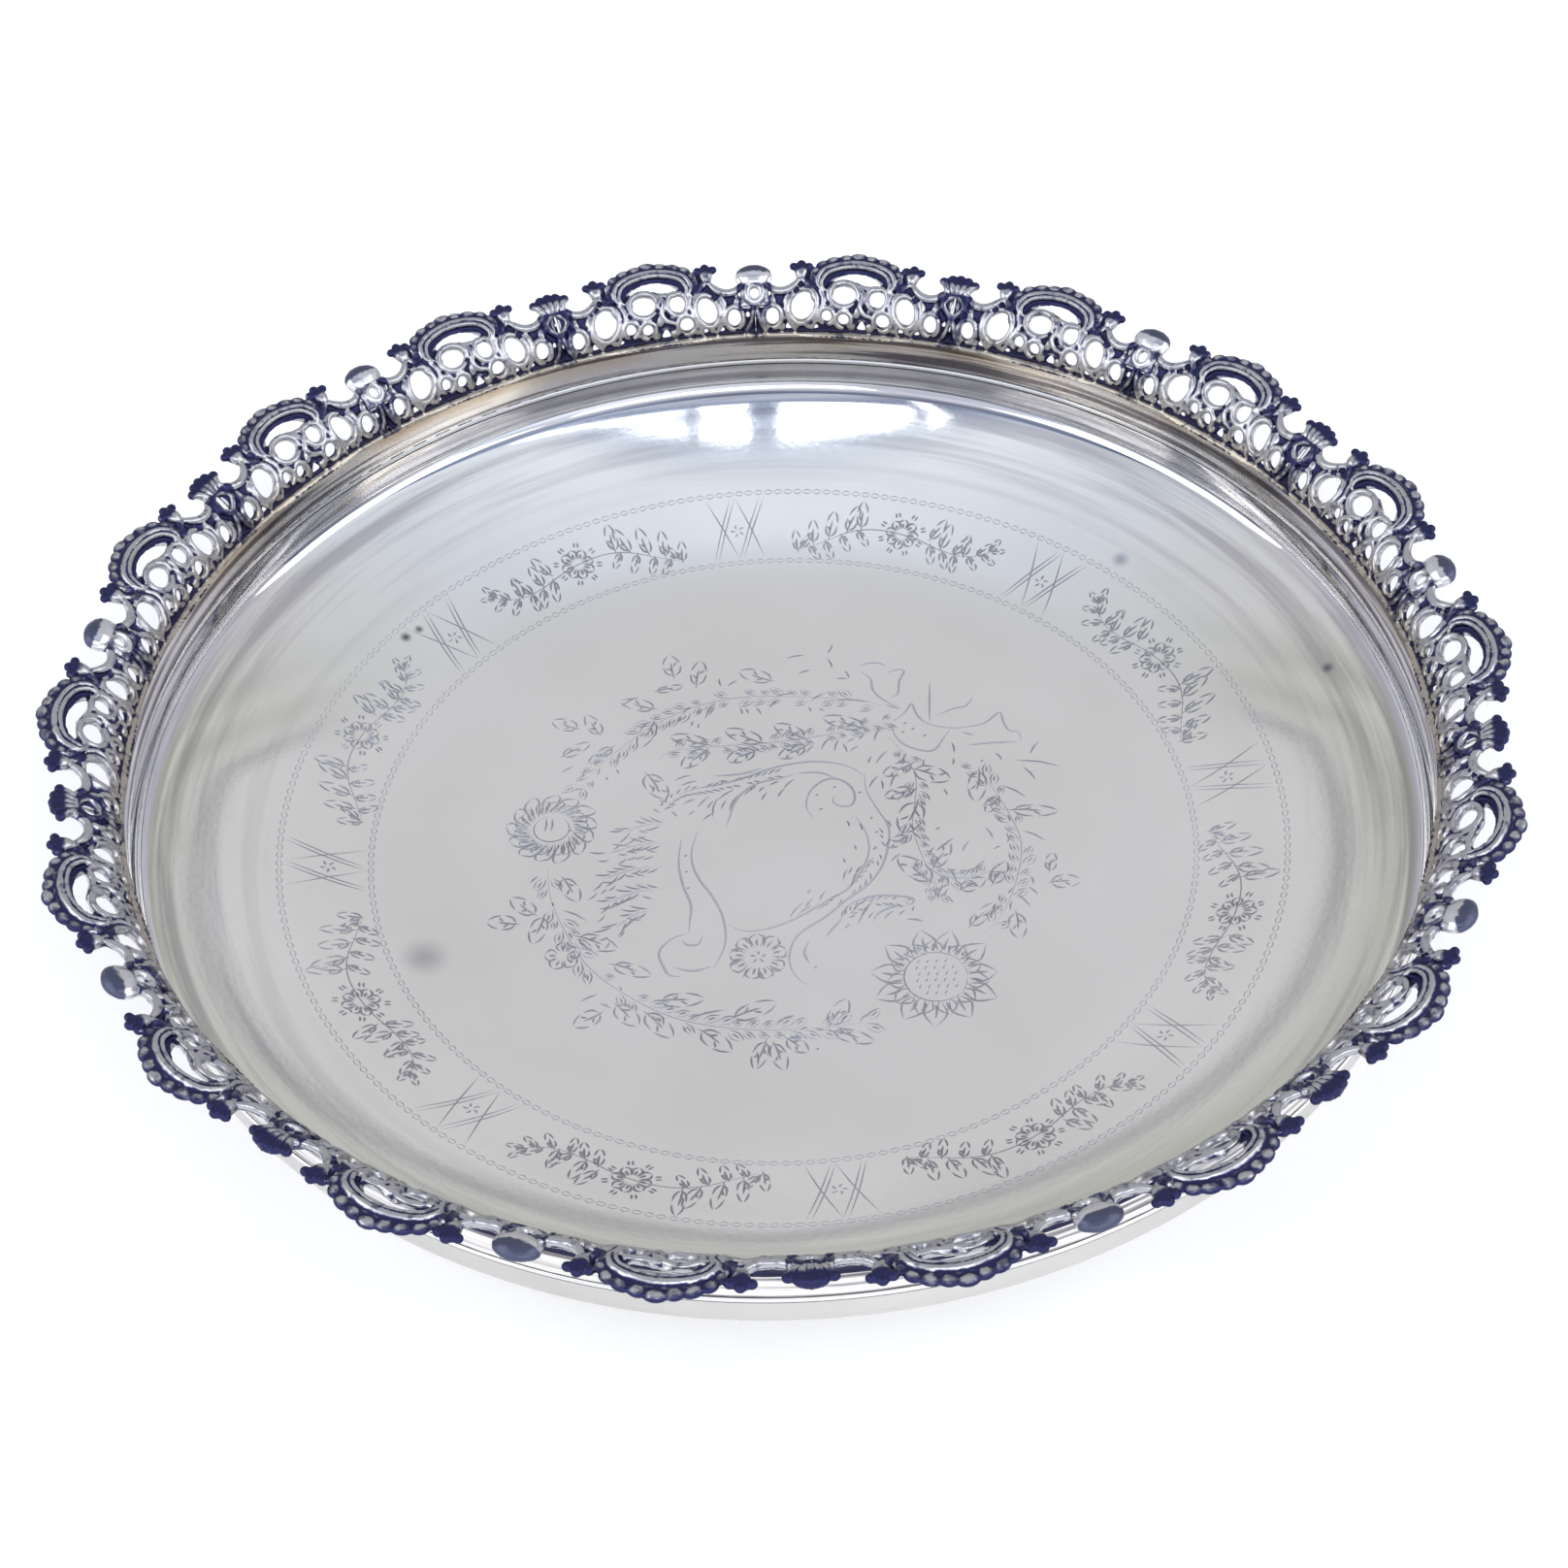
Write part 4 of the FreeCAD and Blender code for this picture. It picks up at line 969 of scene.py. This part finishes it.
class Casting:
    """Closed shapes gathered in pattern space."""

    def __init__(self):
        self.verts = []
        self.faces = []

    def add(self, verts, faces):
        base = len(self.verts)
        self.verts.extend([tuple(v) for v in verts])
        self.faces.extend([tuple(base + i for i in f) for f in faces])

    def tube(self, path, width, height, closed=False, taper=None, sides=10, per_span=5):
        """A scroll of oval section along a smooth path. taper is its relative size at each point."""
        points = [tuple(p) if len(p) == 3 else (*p, LINE_PROUD) for p in path]
        size = taper if taper is not None else [1.0] * len(points)
        packed = smooth_path([(*p, t) for p, t in zip(points, size)], per_span, closed)
        centre = packed[:, :3]
        scale = np.maximum(packed[:, 3], 0.15)
        ahead = np.roll(centre, -1, 0) - np.roll(centre, 1, 0)
        if not closed:
            ahead[0] = centre[1] - centre[0]
            ahead[-1] = centre[-1] - centre[-2]
        ahead[:, 2] = 0
        ahead /= np.linalg.norm(ahead, axis=1)[:, None]
        side = np.stack([-ahead[:, 1], ahead[:, 0], np.zeros(len(ahead))], 1)
        rings = []
        for k in range(sides):
            angle = math.tau * k / sides
            rings.append(centre + side * (width * math.cos(angle) * scale)[:, None]
                         + np.array([0, 0, 1]) * (height * math.sin(angle) * scale)[:, None])
        verts = np.stack(rings, 1).reshape(-1, 3)
        count = len(centre)
        faces = []
        for i in range(count if closed else count - 1):
            j = (i + 1) % count
            for k in range(sides):
                m = (k + 1) % sides
                faces.append((i * sides + k, i * sides + m, j * sides + m, j * sides + k))
        if not closed:
            faces.append(tuple(range(sides))[::-1])
            faces.append(tuple((count - 1) * sides + k for k in range(sides)))
        self.add(verts, faces)

    def lump(self, across, rise, proud, length, width, height, turn=0.0):
        """An egg-shaped boss, its length turned anticlockwise from straight up by turn degrees."""
        rows, cols = 7, 10
        verts = [(0, -1, 0)]
        for i in range(1, rows):
            lat = -math.pi / 2 + math.pi * i / rows
            for k in range(cols):
                lon = math.tau * k / cols
                verts.append((math.cos(lat) * math.cos(lon), math.sin(lat),
                              math.cos(lat) * math.sin(lon)))
        verts.append((0, 1, 0))
        v = np.array(verts) * (width, length, height)
        a = math.radians(turn)
        x = v[:, 0] * math.cos(a) - v[:, 1] * math.sin(a)
        y = v[:, 0] * math.sin(a) + v[:, 1] * math.cos(a)
        v = np.stack([x + across, y + rise, v[:, 2] + proud], 1)
        faces = []
        last = len(verts) - 1
        for k in range(cols):
            m = (k + 1) % cols
            faces.append((0, 1 + k, 1 + m))
            faces.append((last, last - cols + m, last - cols + k))
            for i in range(rows - 2):
                a0 = 1 + i * cols
                faces.append((a0 + k, a0 + cols + k, a0 + cols + m, a0 + m))
        self.add(v, faces)

    def web(self, outline, holes, low, high):
        """A sheet of metal between two depths, with holes through it."""
        plan = []
        edges = []
        for loop in [outline] + holes:
            base = len(plan)
            plan += [Vector(p) for p in loop]
            edges += [(base + i, base + (i + 1) % len(loop)) for i in range(len(loop))]
        low_x, low_y = np.min(outline, 0)
        high_x, high_y = np.max(outline, 0)
        for x in np.arange(low_x + 0.7, high_x, 1.3):
            plan += [Vector((x, y)) for y in np.arange(low_y + 0.7, high_y, 1.3)]
        points, _, faces, *_ = delaunay_2d_cdt(plan, edges, [], 1, 1e-4)
        middle_x = np.array([sum(points[i].x for i in f) / len(f) for f in faces])
        middle_y = np.array([sum(points[i].y for i in f) / len(f) for f in faces])
        solid = ~np.any([within(middle_x, middle_y, loop) for loop in holes], 0)
        faces = [f for f, keep in zip(faces, solid) if keep]
        count = len(points)
        verts = [(p.x, p.y, low) for p in points] + [(p.x, p.y, high) for p in points]
        sides = dict.fromkeys((f[i], f[(i + 1) % len(f)]) for f in faces for i in range(len(f)))
        walls = [(b + count, a + count, a, b) for a, b in sides if (b, a) not in sides]
        caps = [tuple(i + count for i in f) for f in faces] + [tuple(f[::-1]) for f in faces]
        self.add(verts, caps + walls)


def ring(across, rise, half_width, half_height, lean=0.0, start=0.0, sweep=360.0, count=10):
    """Points round an oval, clockwise from start degrees past the top. A lean turns it clockwise."""
    c = math.cos(math.radians(lean))
    s = math.sin(math.radians(lean))
    steps = count if sweep >= 360 else count - 1
    pts = []
    for k in range(count):
        angle = math.radians(start + sweep * k / steps)
        dx = half_width * math.sin(angle)
        dy = half_height * math.cos(angle)
        pts.append((across + dx * c + dy * s, rise - dx * s + dy * c))
    return pts


# openings through one arch as (across, rise, half width, half height, lean); the first number of
# each rim is where its scroll starts, and the second is how far it runs round
OPENINGS = [
    ((-13.6, 7.3, 2.9, 3.7, 20), (-40, 340)),
    ((13.6, 7.0, 2.4, 3.4, -18), (50, -340)),
    ((-2.9, 10.2, 3.1, 2.4, 0), (130, 345)),
    ((5.9, 9.5, 2.0, 2.2, 0), (20, 345)),
    ((-21.6, 4.6, 1.7, 2.2, 0), (200, 345)),
    ((20.6, 4.6, 1.7, 2.2, 0), (160, -345)),
    ((-7.2, 4.7, 1.3, 1.4, 0), (200, 335)),
    ((-2.7, 3.9, 1.4, 1.4, 0), (150, -335)),
    ((7.8, 4.0, 1.8, 1.7, 0), (220, 345)),
]
GAPS = [(-17.2, 1.2, 1.4, 2.2), (-10.2, 1.2, 1.1, 1.6), (2.2, 1.2, 1.5, 2.6), (12.6, 1.2, 1.2, 1.7),
        (17.0, 1.2, 1.1, 1.8), (-24.2, 4.6, 0.5, 3.4), (24.2, 4.6, 0.5, 3.4)]
# the crescent under the crest, first as an outline and then as an oval like the others
CRESCENT = [(-6.4, 13.3), (-4.7, 15.2), (-2.4, 16.2), (0, 16.5), (2.4, 16.2), (4.7, 15.2), (6.4, 13.3),
            (5.6, 12.6), (3.4, 12.7), (1.4, 13.4), (-1.0, 14.3), (-4.0, 14.0)]
CREST_OPENING = (0.0, 14.8, 6.2, 2.0, 0.0)
# the edge of half an arch from its crest outwards, and how it ends at either kind of finial
HALF_ARCH_EDGE = [(3.0, 21.3), (6.2, 19.9), (9.2, 17.4), (11.0, 14.6), (11.9, 15.6), (12.4, 18.0),
                  (14.2, 19.1), (16.0, 17.9), (15.6, 15.6), (15.0, 13.8), (16.6, 11.9), (19.2, 11.1),
                  (22.0, 11.9)]
JOINT_SEAT = [(HALF_PITCH - 4.2, 12.4), (HALF_PITCH - 4.2, 7.0), (HALF_PITCH, 7.0)]
FINIAL_EDGE = [(HALF_PITCH - x, y) for x, y in ((2.98, 13.6), (3.6, 16.0), (2.2, 18.0), (0.0, 18.6))]
# the polished frame of an arch, its crest lobes as (across, rise, length, turn), the plain bosses
# as (across, rise, length, width, turn), and the stems as (points, width, height, taper)
FRAME_LINE = [(-8.8, 11.2), (-9.8, 12.6), (-9.7, 14.4), (-8.1, 16.7), (-4.5, 18.3), (0, 18.9),
              (4.5, 18.3), (8.1, 16.7), (9.7, 14.4), (9.8, 12.6), (8.8, 11.2)]
CREST_LOBES = [(-10.9, 14.6, 1.2, 70), (-10.6, 16.4, 1.5, 56), (-9.0, 18.6, 1.8, 42),
               (-6.3, 20.1, 2.1, 27), (-3.2, 21.0, 1.9, 14)]
BOSSES = [
    (1.0, 6.0, 1.7, 1.1, -15), (-5.0, 7.0, 1.1, 1.7, 0), (10.8, 2.2, 1.2, 1.5, 30),
    (4.8, 6.6, 1.0, 1.6, 20), (-12.0, 2.4, 1.2, 1.6, -30), (-6.6, 11.0, 1.4, 1.1, 30),
    (-0.6, 2.2, 1.3, 1.3, 0), (4.4, 2.0, 1.3, 1.3, 0), (-15.4, 2.6, 1.3, 1.4, 20),
    (-19.2, 2.0, 1.2, 1.2, 0), (14.6, 2.2, 1.2, 1.2, 0),
]
STEMS = [
    ([(-9.2, 11.4), (-8, 8.6), (-8.9, 6.2), (-10, 4.2), (-11.2, 1.4)], 0.75, 0.8, [0.8, 1, 1, 0.9, 0.7]),
    ([(9.6, 11.4), (9.0, 8.6), (10.4, 5.6), (11.4, 3.0), (12.0, 0.8)], 0.75, 0.8, [0.8, 1, 1, 0.9, 0.7]),
    ([(1.2, 12.6), (2.3, 9.6), (1.5, 7.4), (2.6, 5.6), (4.6, 4.9)], 0.8, 0.95, [0.7, 1, 1, 0.9, 0.7]),
    ([(0.6, 12.6), (3.0, 12.0), (5.6, 11.9), (7.6, 12.6)], 0.7, 0.75, [0.6, 1, 1, 0.6]),
]


def arch_outline(seat_left, seat_right):
    """The edge of the web of one arch, from its foot on the left round over the crest. A seat
    leaves room for the finial over a joint."""
    left = HALF_ARCH_EDGE + (JOINT_SEAT if seat_left else FINIAL_EDGE)
    right = HALF_ARCH_EDGE + (JOINT_SEAT if seat_right else FINIAL_EDGE)
    return ([(-HALF_PITCH, -0.3)] + [(-x, y) for x, y in left[::-1]] + [(0.0, 21.7)]
            + right + [(HALF_PITCH, -0.3)])


def add_arch(c, x0):
    """One shell-topped arch of openwork with its knobs and swags, its middle at x0."""

    def at(points):
        return [(x0 + p[0], *p[1:]) for p in points]

    def scaled_frame(share, foot, proud):
        return [(x0 + x * share, foot + (y - foot) * share, proud) for x, y in FRAME_LINE]

    holes = [ring(a, r, w, h, lean, count=14) for (a, r, w, h, lean), _ in OPENINGS]
    holes += [[(a - w, r), (a + w, r), (a, r + h)] for a, r, w, h in GAPS] + [CRESCENT]
    c.web(at(arch_outline(x0 < 0, x0 > 0)), [at(h) for h in holes], -0.7, -0.1)
    # two polished strands frame the top
    for inset, width in ((1.0, 0.62), (0.88, 0.5)):
        c.tube(scaled_frame(inset, 9.0, 0.75), width, 0.85,
               taper=[0.5, 0.8, 1, 1, 1, 1.05, 1, 1, 1, 0.8, 0.5])
    # scalloped crest
    for across, rise, length, turn in CREST_LOBES:
        for side in (-1, 1):
            c.lump(x0 - side * across, rise, 0.1, 1.25, length, 0.95, -turn * side)
    c.lump(x0, 21.7, 0.15, 1.3, 2.2, 1.0)
    c.tube(scaled_frame(1.1, 9.2, 0.15)[1:-1], 1.0, 0.65)
    for side in (-1, 1):
        add_arm(c, x0, side)
    for (across, rise, wide, high, lean), (start, sweep) in OPENINGS:
        size = 0.66 + 0.04 * wide
        c.tube(at(ring(across, rise, wide + size, high + size, lean, start, sweep)), size, 0.85,
               taper=[0.6] + [1] * 8 + [0.7])
    for points, width, height, taper in STEMS:
        c.tube(at(points), width, height, taper=taper)
    for across, rise, length, wide, turn in BOSSES:
        c.lump(x0 + across, rise, 0.1, length, wide, 0.75, turn)


def add_arm(c, x0, side):
    """What one side of an arch holds: a knob, a swag, and the leaves and the stem under them."""

    def at(points):
        return [(x0 + side * p[0], *p[1:]) for p in points]

    # knob: a tulip with three lobes
    c.lump(x0 + side * 14.1, 16.5, 0.5, 2.3, 1.75, 1.15)
    for lobe, lift in ((-1.9, 17.9), (0.0, 18.8), (1.9, 17.9)):
        c.lump(x0 + side * (14.1 + lobe), lift, 0.35, 1.05, 1.15, 1.0)
    c.tube(at([(10.8, 11.6), (12.4, 12.9), (13.8, 14.6), (14.1, 16.0)]), 0.9, 0.8,
           taper=[0.7, 0.9, 0.9, 0.9])
    # polished swag
    c.tube(at([(14.6, 14.0, 0.5), (15.6, 12.6, 0.55), (17.2, 11.4, 0.6), (19.2, 10.9, 0.6),
               (21.2, 11.3, 0.6), (22.6, 12.4, 0.55), (23.4, 13.6, 0.5)]), 1.0, 0.95,
           taper=[0.6, 0.9, 1, 1.05, 1, 0.9, 0.6])
    for across, rise, proud, length, width, height, turn in (
            (17.6, 8.6, 0.1, 1.9, 1.3, 0.75, 25), (21.6, 8.7, 0.1, 1.6, 1.1, 0.75, -20),
            (10.4, 9.6, 0.2, 2.2, 1.2, 0.8, -24)):
        c.lump(x0 + side * across, rise, proud, length, width, height, side * turn)
    c.tube(at([(17.4, 10.0), (18.0, 7.0), (17.4, 4.0), (15.4, 1.0)]), 0.7, 0.8, taper=[0.7, 1, 1, 0.8])


def add_finial(c):
    """A shell with a lobed top above an open lozenge, in the middle of a section."""
    c.lump(0, 15.3, 0.2, 2.7, 4.2, 1.15)
    for share in (-1, -0.5, 0, 0.5, 1):
        c.lump(share * 3.0, 15.2 - 0.5 * abs(share), 0.6, 2.2, 0.8, 1.0, -share * 30)
        c.lump(share * 4.0, 17.6 - 1.3 * share * share, 0.4, 1.15, 1.25, 1.05)
    c.tube([(0, 13.0), (2.9, 10.2), (0, 7.2), (-2.9, 10.2)], 0.8, 0.8, closed=True, per_span=4)


def add_dome(c):
    """The plain worn bell that covers a joint, with one small opening."""
    half_bell = [(4.1, 7.2), (3.6, 9.5), (4.0, 12.5), (4.7, 15.2), (3.5, 17.6)]
    bell = smooth_path(half_bell + [(0.0, 18.8)] + [(-x, y) for x, y in half_bell[::-1]], 3)
    c.web([tuple(p) for p in bell], [ring(0.0, 10.7, 1.2, 1.5, count=12)], -0.7, 0.6)
    c.lump(0, 15.2, 0.2, 3.4, 4.5, 2.0)
    c.tube([(x, y, 0.5) for x, y in ring(0.0, 10.7, 2.0, 2.3)], 0.8, 0.7, closed=True)


def add_foot(c, x0, side):
    """Half of the spreading foot below a finial."""
    line = [(0.5, 7.8), (0.7, 5.2), (1.5, 2.8), (2.9, 0.8)]
    c.tube([(x0 + side * x, y) for x, y in line], 0.62, 0.8, taper=[0.9, 1, 1, 1.1])


def add_rail(c, half_length, steps=24):
    path = [(half_length * (2 * k / steps - 1), -0.2, 0.15) for k in range(steps + 1)]
    c.tube(path, 0.75, 1.15, per_span=1, sides=12)


# ------------------------------------------------------------------ cast metal from gathered shapes
VOXEL = 0.30


def fused(casting, soften):
    """Melts a casting's pile of closed shapes into one mesh, bent to the flared surface."""
    obj = new_object("melting_pot", flared(casting.verts), casting.faces)
    melt = obj.modifiers.new("melt", "REMESH")
    melt.mode = "VOXEL"
    melt.voxel_size = VOXEL * MM
    melt.use_smooth_shade = True
    ease = obj.modifiers.new("ease", "SMOOTH")
    ease.factor = 0.5
    ease.iterations = soften
    graph = bpy.context.evaluated_depsgraph_get()
    mesh = bpy.data.meshes.new_from_object(obj.evaluated_get(graph))
    bpy.data.objects.remove(obj)
    return mesh


def read_all(items, name, width, kind=float):
    """One property of all points or edges of a mesh, a row for each."""
    flat = np.empty(len(items) * width, kind)
    items.foreach_get(name, flat)
    return flat.reshape(-1, width)


def hollowness(place, normal, edges):
    """How far each point lies below the mean of its neighbourhood, near by and further off."""
    count = len(place)
    degree = np.bincount(edges.ravel(), minlength=count)
    eased = place
    hollow = np.zeros(count)
    for weight, rounds in ((2.0, 5), (1.0, 9)):
        for _ in range(rounds):
            ends = [np.bincount(edges[:, 0], eased[edges[:, 1], axis], count)
                    + np.bincount(edges[:, 1], eased[edges[:, 0], axis], count) for axis in range(3)]
            eased = np.stack(ends, 1) / degree[:, None]
        hollow += weight * ((eased - place) * normal).sum(1)
    return hollow


def unflared(place):
    """Places on the rim in millimetres as pattern points (across, rise, proud)."""
    radius = np.hypot(place[:, 0], place[:, 1])
    out = (GALLERY_CENTRE - radius) / REACH
    lift = (place[:, 2] - GALLERY_BASE) / RISE
    proud = (np.hypot(out, lift) - 1) * (REACH + RISE) / 2
    turn = np.clip(np.arctan2(lift, out), 0, math.pi / 2)
    rise = np.interp(turn, TURNS, RUN) + np.maximum(radius - GALLERY_CENTRE, 0)
    return -np.arctan2(place[:, 1], place[:, 0]) * PATTERN_R, rise, proud


def painted_opening_light(across, rise):
    """1 on the walls of the openings, where painted light makes the metal lighter."""
    opening_light = np.zeros(len(across))
    for middle, level, wide, high, lean in [spec for spec, _ in OPENINGS] + [CREST_OPENING]:
        c, s = math.cos(math.radians(lean)), math.sin(math.radians(lean))
        dx, dy = across - middle, rise - level
        reach = np.hypot((c * dx - s * dy) / (wide + 0.5), (s * dx + c * dy) / (high + 0.5))
        opening_light = np.maximum(opening_light, np.clip((1.1 - reach) * 5, 0, 1))
    return opening_light


def dark_places(off_middle, rise, proud):
    """How much oxide the photographed casting holds on its crest, its lozenges and their stems, less a
    painted highlight on the tops of the crest lobes.
    off_middle is the distance from the middle of an arch."""
    on_arch = off_middle < 11.4
    droop = (off_middle / 10.0) ** 2
    crest_foot = np.where(on_arch, 20.2 - droop * 5.2, np.where(off_middle < 18, 16.2, 15.4))
    crest = np.clip((rise - crest_foot) / 1.2, 0, 1) * np.where(on_arch, 0.55, 0.75)
    # painted highlight: the most proud parts of the crest lobes are made lighter
    painted_glint = np.clip((proud - 0.65) * 2.4, 0, 1) * on_arch
    beside = HALF_PITCH - off_middle
    round_lozenge = np.hypot(beside, rise - 10.2) > 2.4
    lozenge = (beside < 4.4) & (rise > 6.6) & (rise < 13.2) & round_lozenge
    stem = (beside < 3.0) & (rise < 6.8)
    neck = (off_middle > 10.6) & (off_middle < 13.2) & (rise > 11.6) & (rise < 15.0)
    under_crest = (off_middle < 9.0) & (np.abs(rise - 16.9 + droop * 4.6) < 0.7) & (proud < 0.9)
    crevice = (rise < 3.4) & (proud < 0.15)
    return np.maximum.reduce([crest - painted_glint * 0.45, lozenge * 0.42, stem * 0.2, neck * 0.4,
                              under_crest * 0.6, crevice * 0.6])


def tone_casting(mesh, crest_share):
    """Stores as one layer how much oxide lies on each point, less painted highlights on the crest
    lobes and painted light on the walls of the openings, and as the layer foot a share that is 1 at
    the rail and fades out above it."""
    place = read_all(mesh.vertices, "co", 3) / MM
    normal = read_all(mesh.vertex_normals, "vector", 3)
    hollow = hollowness(place, normal, read_all(mesh.edges, "vertices", 2, np.int64))
    across, rise, proud = unflared(place)
    across = (across + 2 * HALF_PITCH * SECTIONS) % (2 * HALF_PITCH) - HALF_PITCH
    tone = np.clip(hollow * 3.0, -0.4, 0.9) + np.clip((0.25 - proud) * 0.6, -0.15, 0.32)
    # painted light: the oxide on the walls of the openings is made lighter
    tone = np.maximum(tone * (1 - 0.3 * painted_opening_light(across, rise)), 0)
    tone += crest_share * dark_places(np.abs(across), rise, proud)
    for name, values in (("oxide_and_painted_light", tone), ("foot", 1 - rise / 7.0)):
        layer = mesh.attributes.new(name, "FLOAT", "POINT")
        layer.data.foreach_set("value", np.clip(values, 0, 1).astype(np.float32))


def cast(shapes, soften, crest_share, look):
    """Fuses gathered shapes and gives the mesh its oxide, with its painted highlights and painted light,
    and its metal.
    """
    mesh = fused(shapes, soften)
    tone_casting(mesh, crest_share)
    mesh.materials.append(look)
    return mesh


def placed(name, mesh, angle, node):
    """A copy of a casting turned about the axis to where it belongs, in degrees."""
    turned = mesh.copy()
    turned.transform(Matrix.Rotation(math.radians(angle), 4, "Z"))
    obj = bpy.data.objects.new(name, turned)
    bpy.context.scene.collection.objects.link(obj)
    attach(obj, "root")
    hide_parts(node)


section = Casting()
for side in (-1, 1):
    add_arch(section, side * HALF_PITCH)
    add_foot(section, side * 2 * HALF_PITCH, -side)
    add_foot(section, 0, side)
add_finial(section)
add_rail(section, 2 * HALF_PITCH)
section_mesh = cast(section, 1, 1.0, CAST)

cap = Casting()
add_dome(cap)
cap_mesh = cast(cap, 4, 0.9, WORN)

for number in range(1, SECTIONS + 1):
    joint = FIRST_JOINT - (number - 1) * SECTION_ANGLE
    placed("cast_section_%d" % number, section_mesh, joint - SECTION_ANGLE / 2,
           "gallery_section_%d" % number)
    placed("solder_finial_%d" % number, cap_mesh, joint, "joint_finial_%d" % number)


# ------------------------------------------------------------------ floor and light, in metres
def lay_floor():
    mat = bpy.data.materials.new("pale_floor")
    s = Shading(mat)
    s.set("Base Color", (0.96, 0.96, 0.96, 1))
    s.set("Emission Color", (1.0, 1.0, 1.0, 1))
    s.set("Emission Strength", 0.16)
    s.set("Roughness", 0.9)
    corners = [(-4, -4, 0), (4, -4, 0), (4, 4, 0), (-4, 4, 0)]
    ground = new_object("ground", corners, [(0, 1, 2, 3)], smooth=False)
    # a fifth of a millimetre down keeps the floor clear of the tray's flat base
    ground.location.z = -0.0002
    ground.data.materials.append(mat)


def softbox(name, place, aim, width, depth, power, colour):
    lamp = bpy.data.lights.new(name, "AREA")
    lamp.shape = "RECTANGLE"
    lamp.size = width
    lamp.size_y = depth
    lamp.energy = power
    lamp.color = colour
    obj = bpy.data.objects.new(name, lamp)
    obj.location = place
    obj.rotation_euler = (Vector(aim) - Vector(place)).to_track_quat("-Z", "Y").to_euler()
    bpy.context.scene.collection.objects.link(obj)


lay_floor()
# small lamps above the far side give the bright windows in the far bouge
COOL = (0.95, 0.98, 1.0)
for name, x, y, width, depth, power, colour in (
        ("window_long", -0.11, 0.325, 0.18, 0.06, 0.09, COOL),
        ("window_short", 0.054, 0.325, 0.065, 0.06, 0.03, COOL),
        ("window_faint", 0.24, 0.33, 0.27, 0.05, 0.06, (0.90, 0.95, 1.0)),
        ("window_spot", -0.235, 0.30, 0.03, 0.14, 0.03, COOL)):
    softbox(name, (x, y, 1.7), (x, y, 0), width, depth, power, colour)
WARM = (1.0, 0.98, 0.95)
for name, place, width, depth, power in (
        ("key_left", (-1.6, -0.4, 1.2), 1.6, 1.2, 13),
        ("key_right", (1.6, -0.3, 1.3), 1.6, 1.2, 12),
        ("key_front", (0.3, -1.9, 1.7), 2.0, 0.8, 14)):
    softbox(name, place, (0, 0, 0), width, depth, power, WARM)


# ------------------------------------------------------------------ the room that the silver shows
# Stops of (how far a direction lies from the one that the flat floor reflects, colour).
NEAR_BANDS = [
    (0.0, (0.66, 0.66, 0.675)), (0.40, (0.69, 0.69, 0.70)), (0.412, (0.36, 0.36, 0.38)),
    (0.422, (0.66, 0.66, 0.64)), (0.445, (0.48, 0.49, 0.45)), (0.465, (0.64, 0.65, 0.61)),
    (0.49, (0.46, 0.47, 0.43)), (0.53, (0.64, 0.64, 0.61)), (0.62, (0.68, 0.68, 0.74)),
    (1.0, (0.70, 0.70, 0.78))]
FAR_BANDS = [
    (0.0, (0.66, 0.66, 0.675)), (0.15, (0.68, 0.69, 0.72)), (0.25, (0.74, 0.78, 0.86)),
    (0.38, (0.88, 0.93, 1.0)), (0.44, (0.60, 0.68, 0.84)), (0.47, (0.30, 0.36, 0.52)),
    (0.52, (0.80, 0.86, 0.98)), (1.0, (0.72, 0.74, 0.82))]
# Stops of (1 + y, factor): brightest behind the camera, darker up to the side, and plain beyond it.
DEPTH_BANDS = [(0.45, (1.2, 1.2, 1.2)), (0.75, (0.45, 0.47, 0.54)), (1.0, (0.30, 0.35, 0.48)),
               (1.0, (1.0, 1.0, 1.0))]


def build_room():
    world = bpy.data.worlds.new("studio")
    bpy.context.scene.world = world
    s = Shading(world, "Background")
    way = s.add("TexCoord", "Generated", {})
    floor_way = (0, math.sin(ELEVATION), -math.cos(ELEVATION))
    fall = s.vector("DOT_PRODUCT", "Value", way, floor_way)
    below = s.math("POWER", s.math("ABSOLUTE", s.math("ADD", fall, 0.03)), 1.5)
    # the factor stretches the bands sideways
    beside = s.math("POWER", s.math("ABSOLUTE", s.math("MULTIPLY", s.part(way, "X"), 1.6)), 1.5)
    near = s.ramp(s.math("ADD", beside, below), NEAR_BANDS)
    bands = s.mix(s.span(fall, -0.05, -0.30), near, s.ramp(below, FAR_BANDS))
    depth = s.ramp(s.math("ADD", s.part(way, "Y"), 1.0), DEPTH_BANDS)
    s.set("Color", s.mix(1.0, bands, depth, "MULTIPLY"))
    s.set("Strength", 1.0)


build_room()
bpy.context.scene.view_settings.view_transform = "Standard"
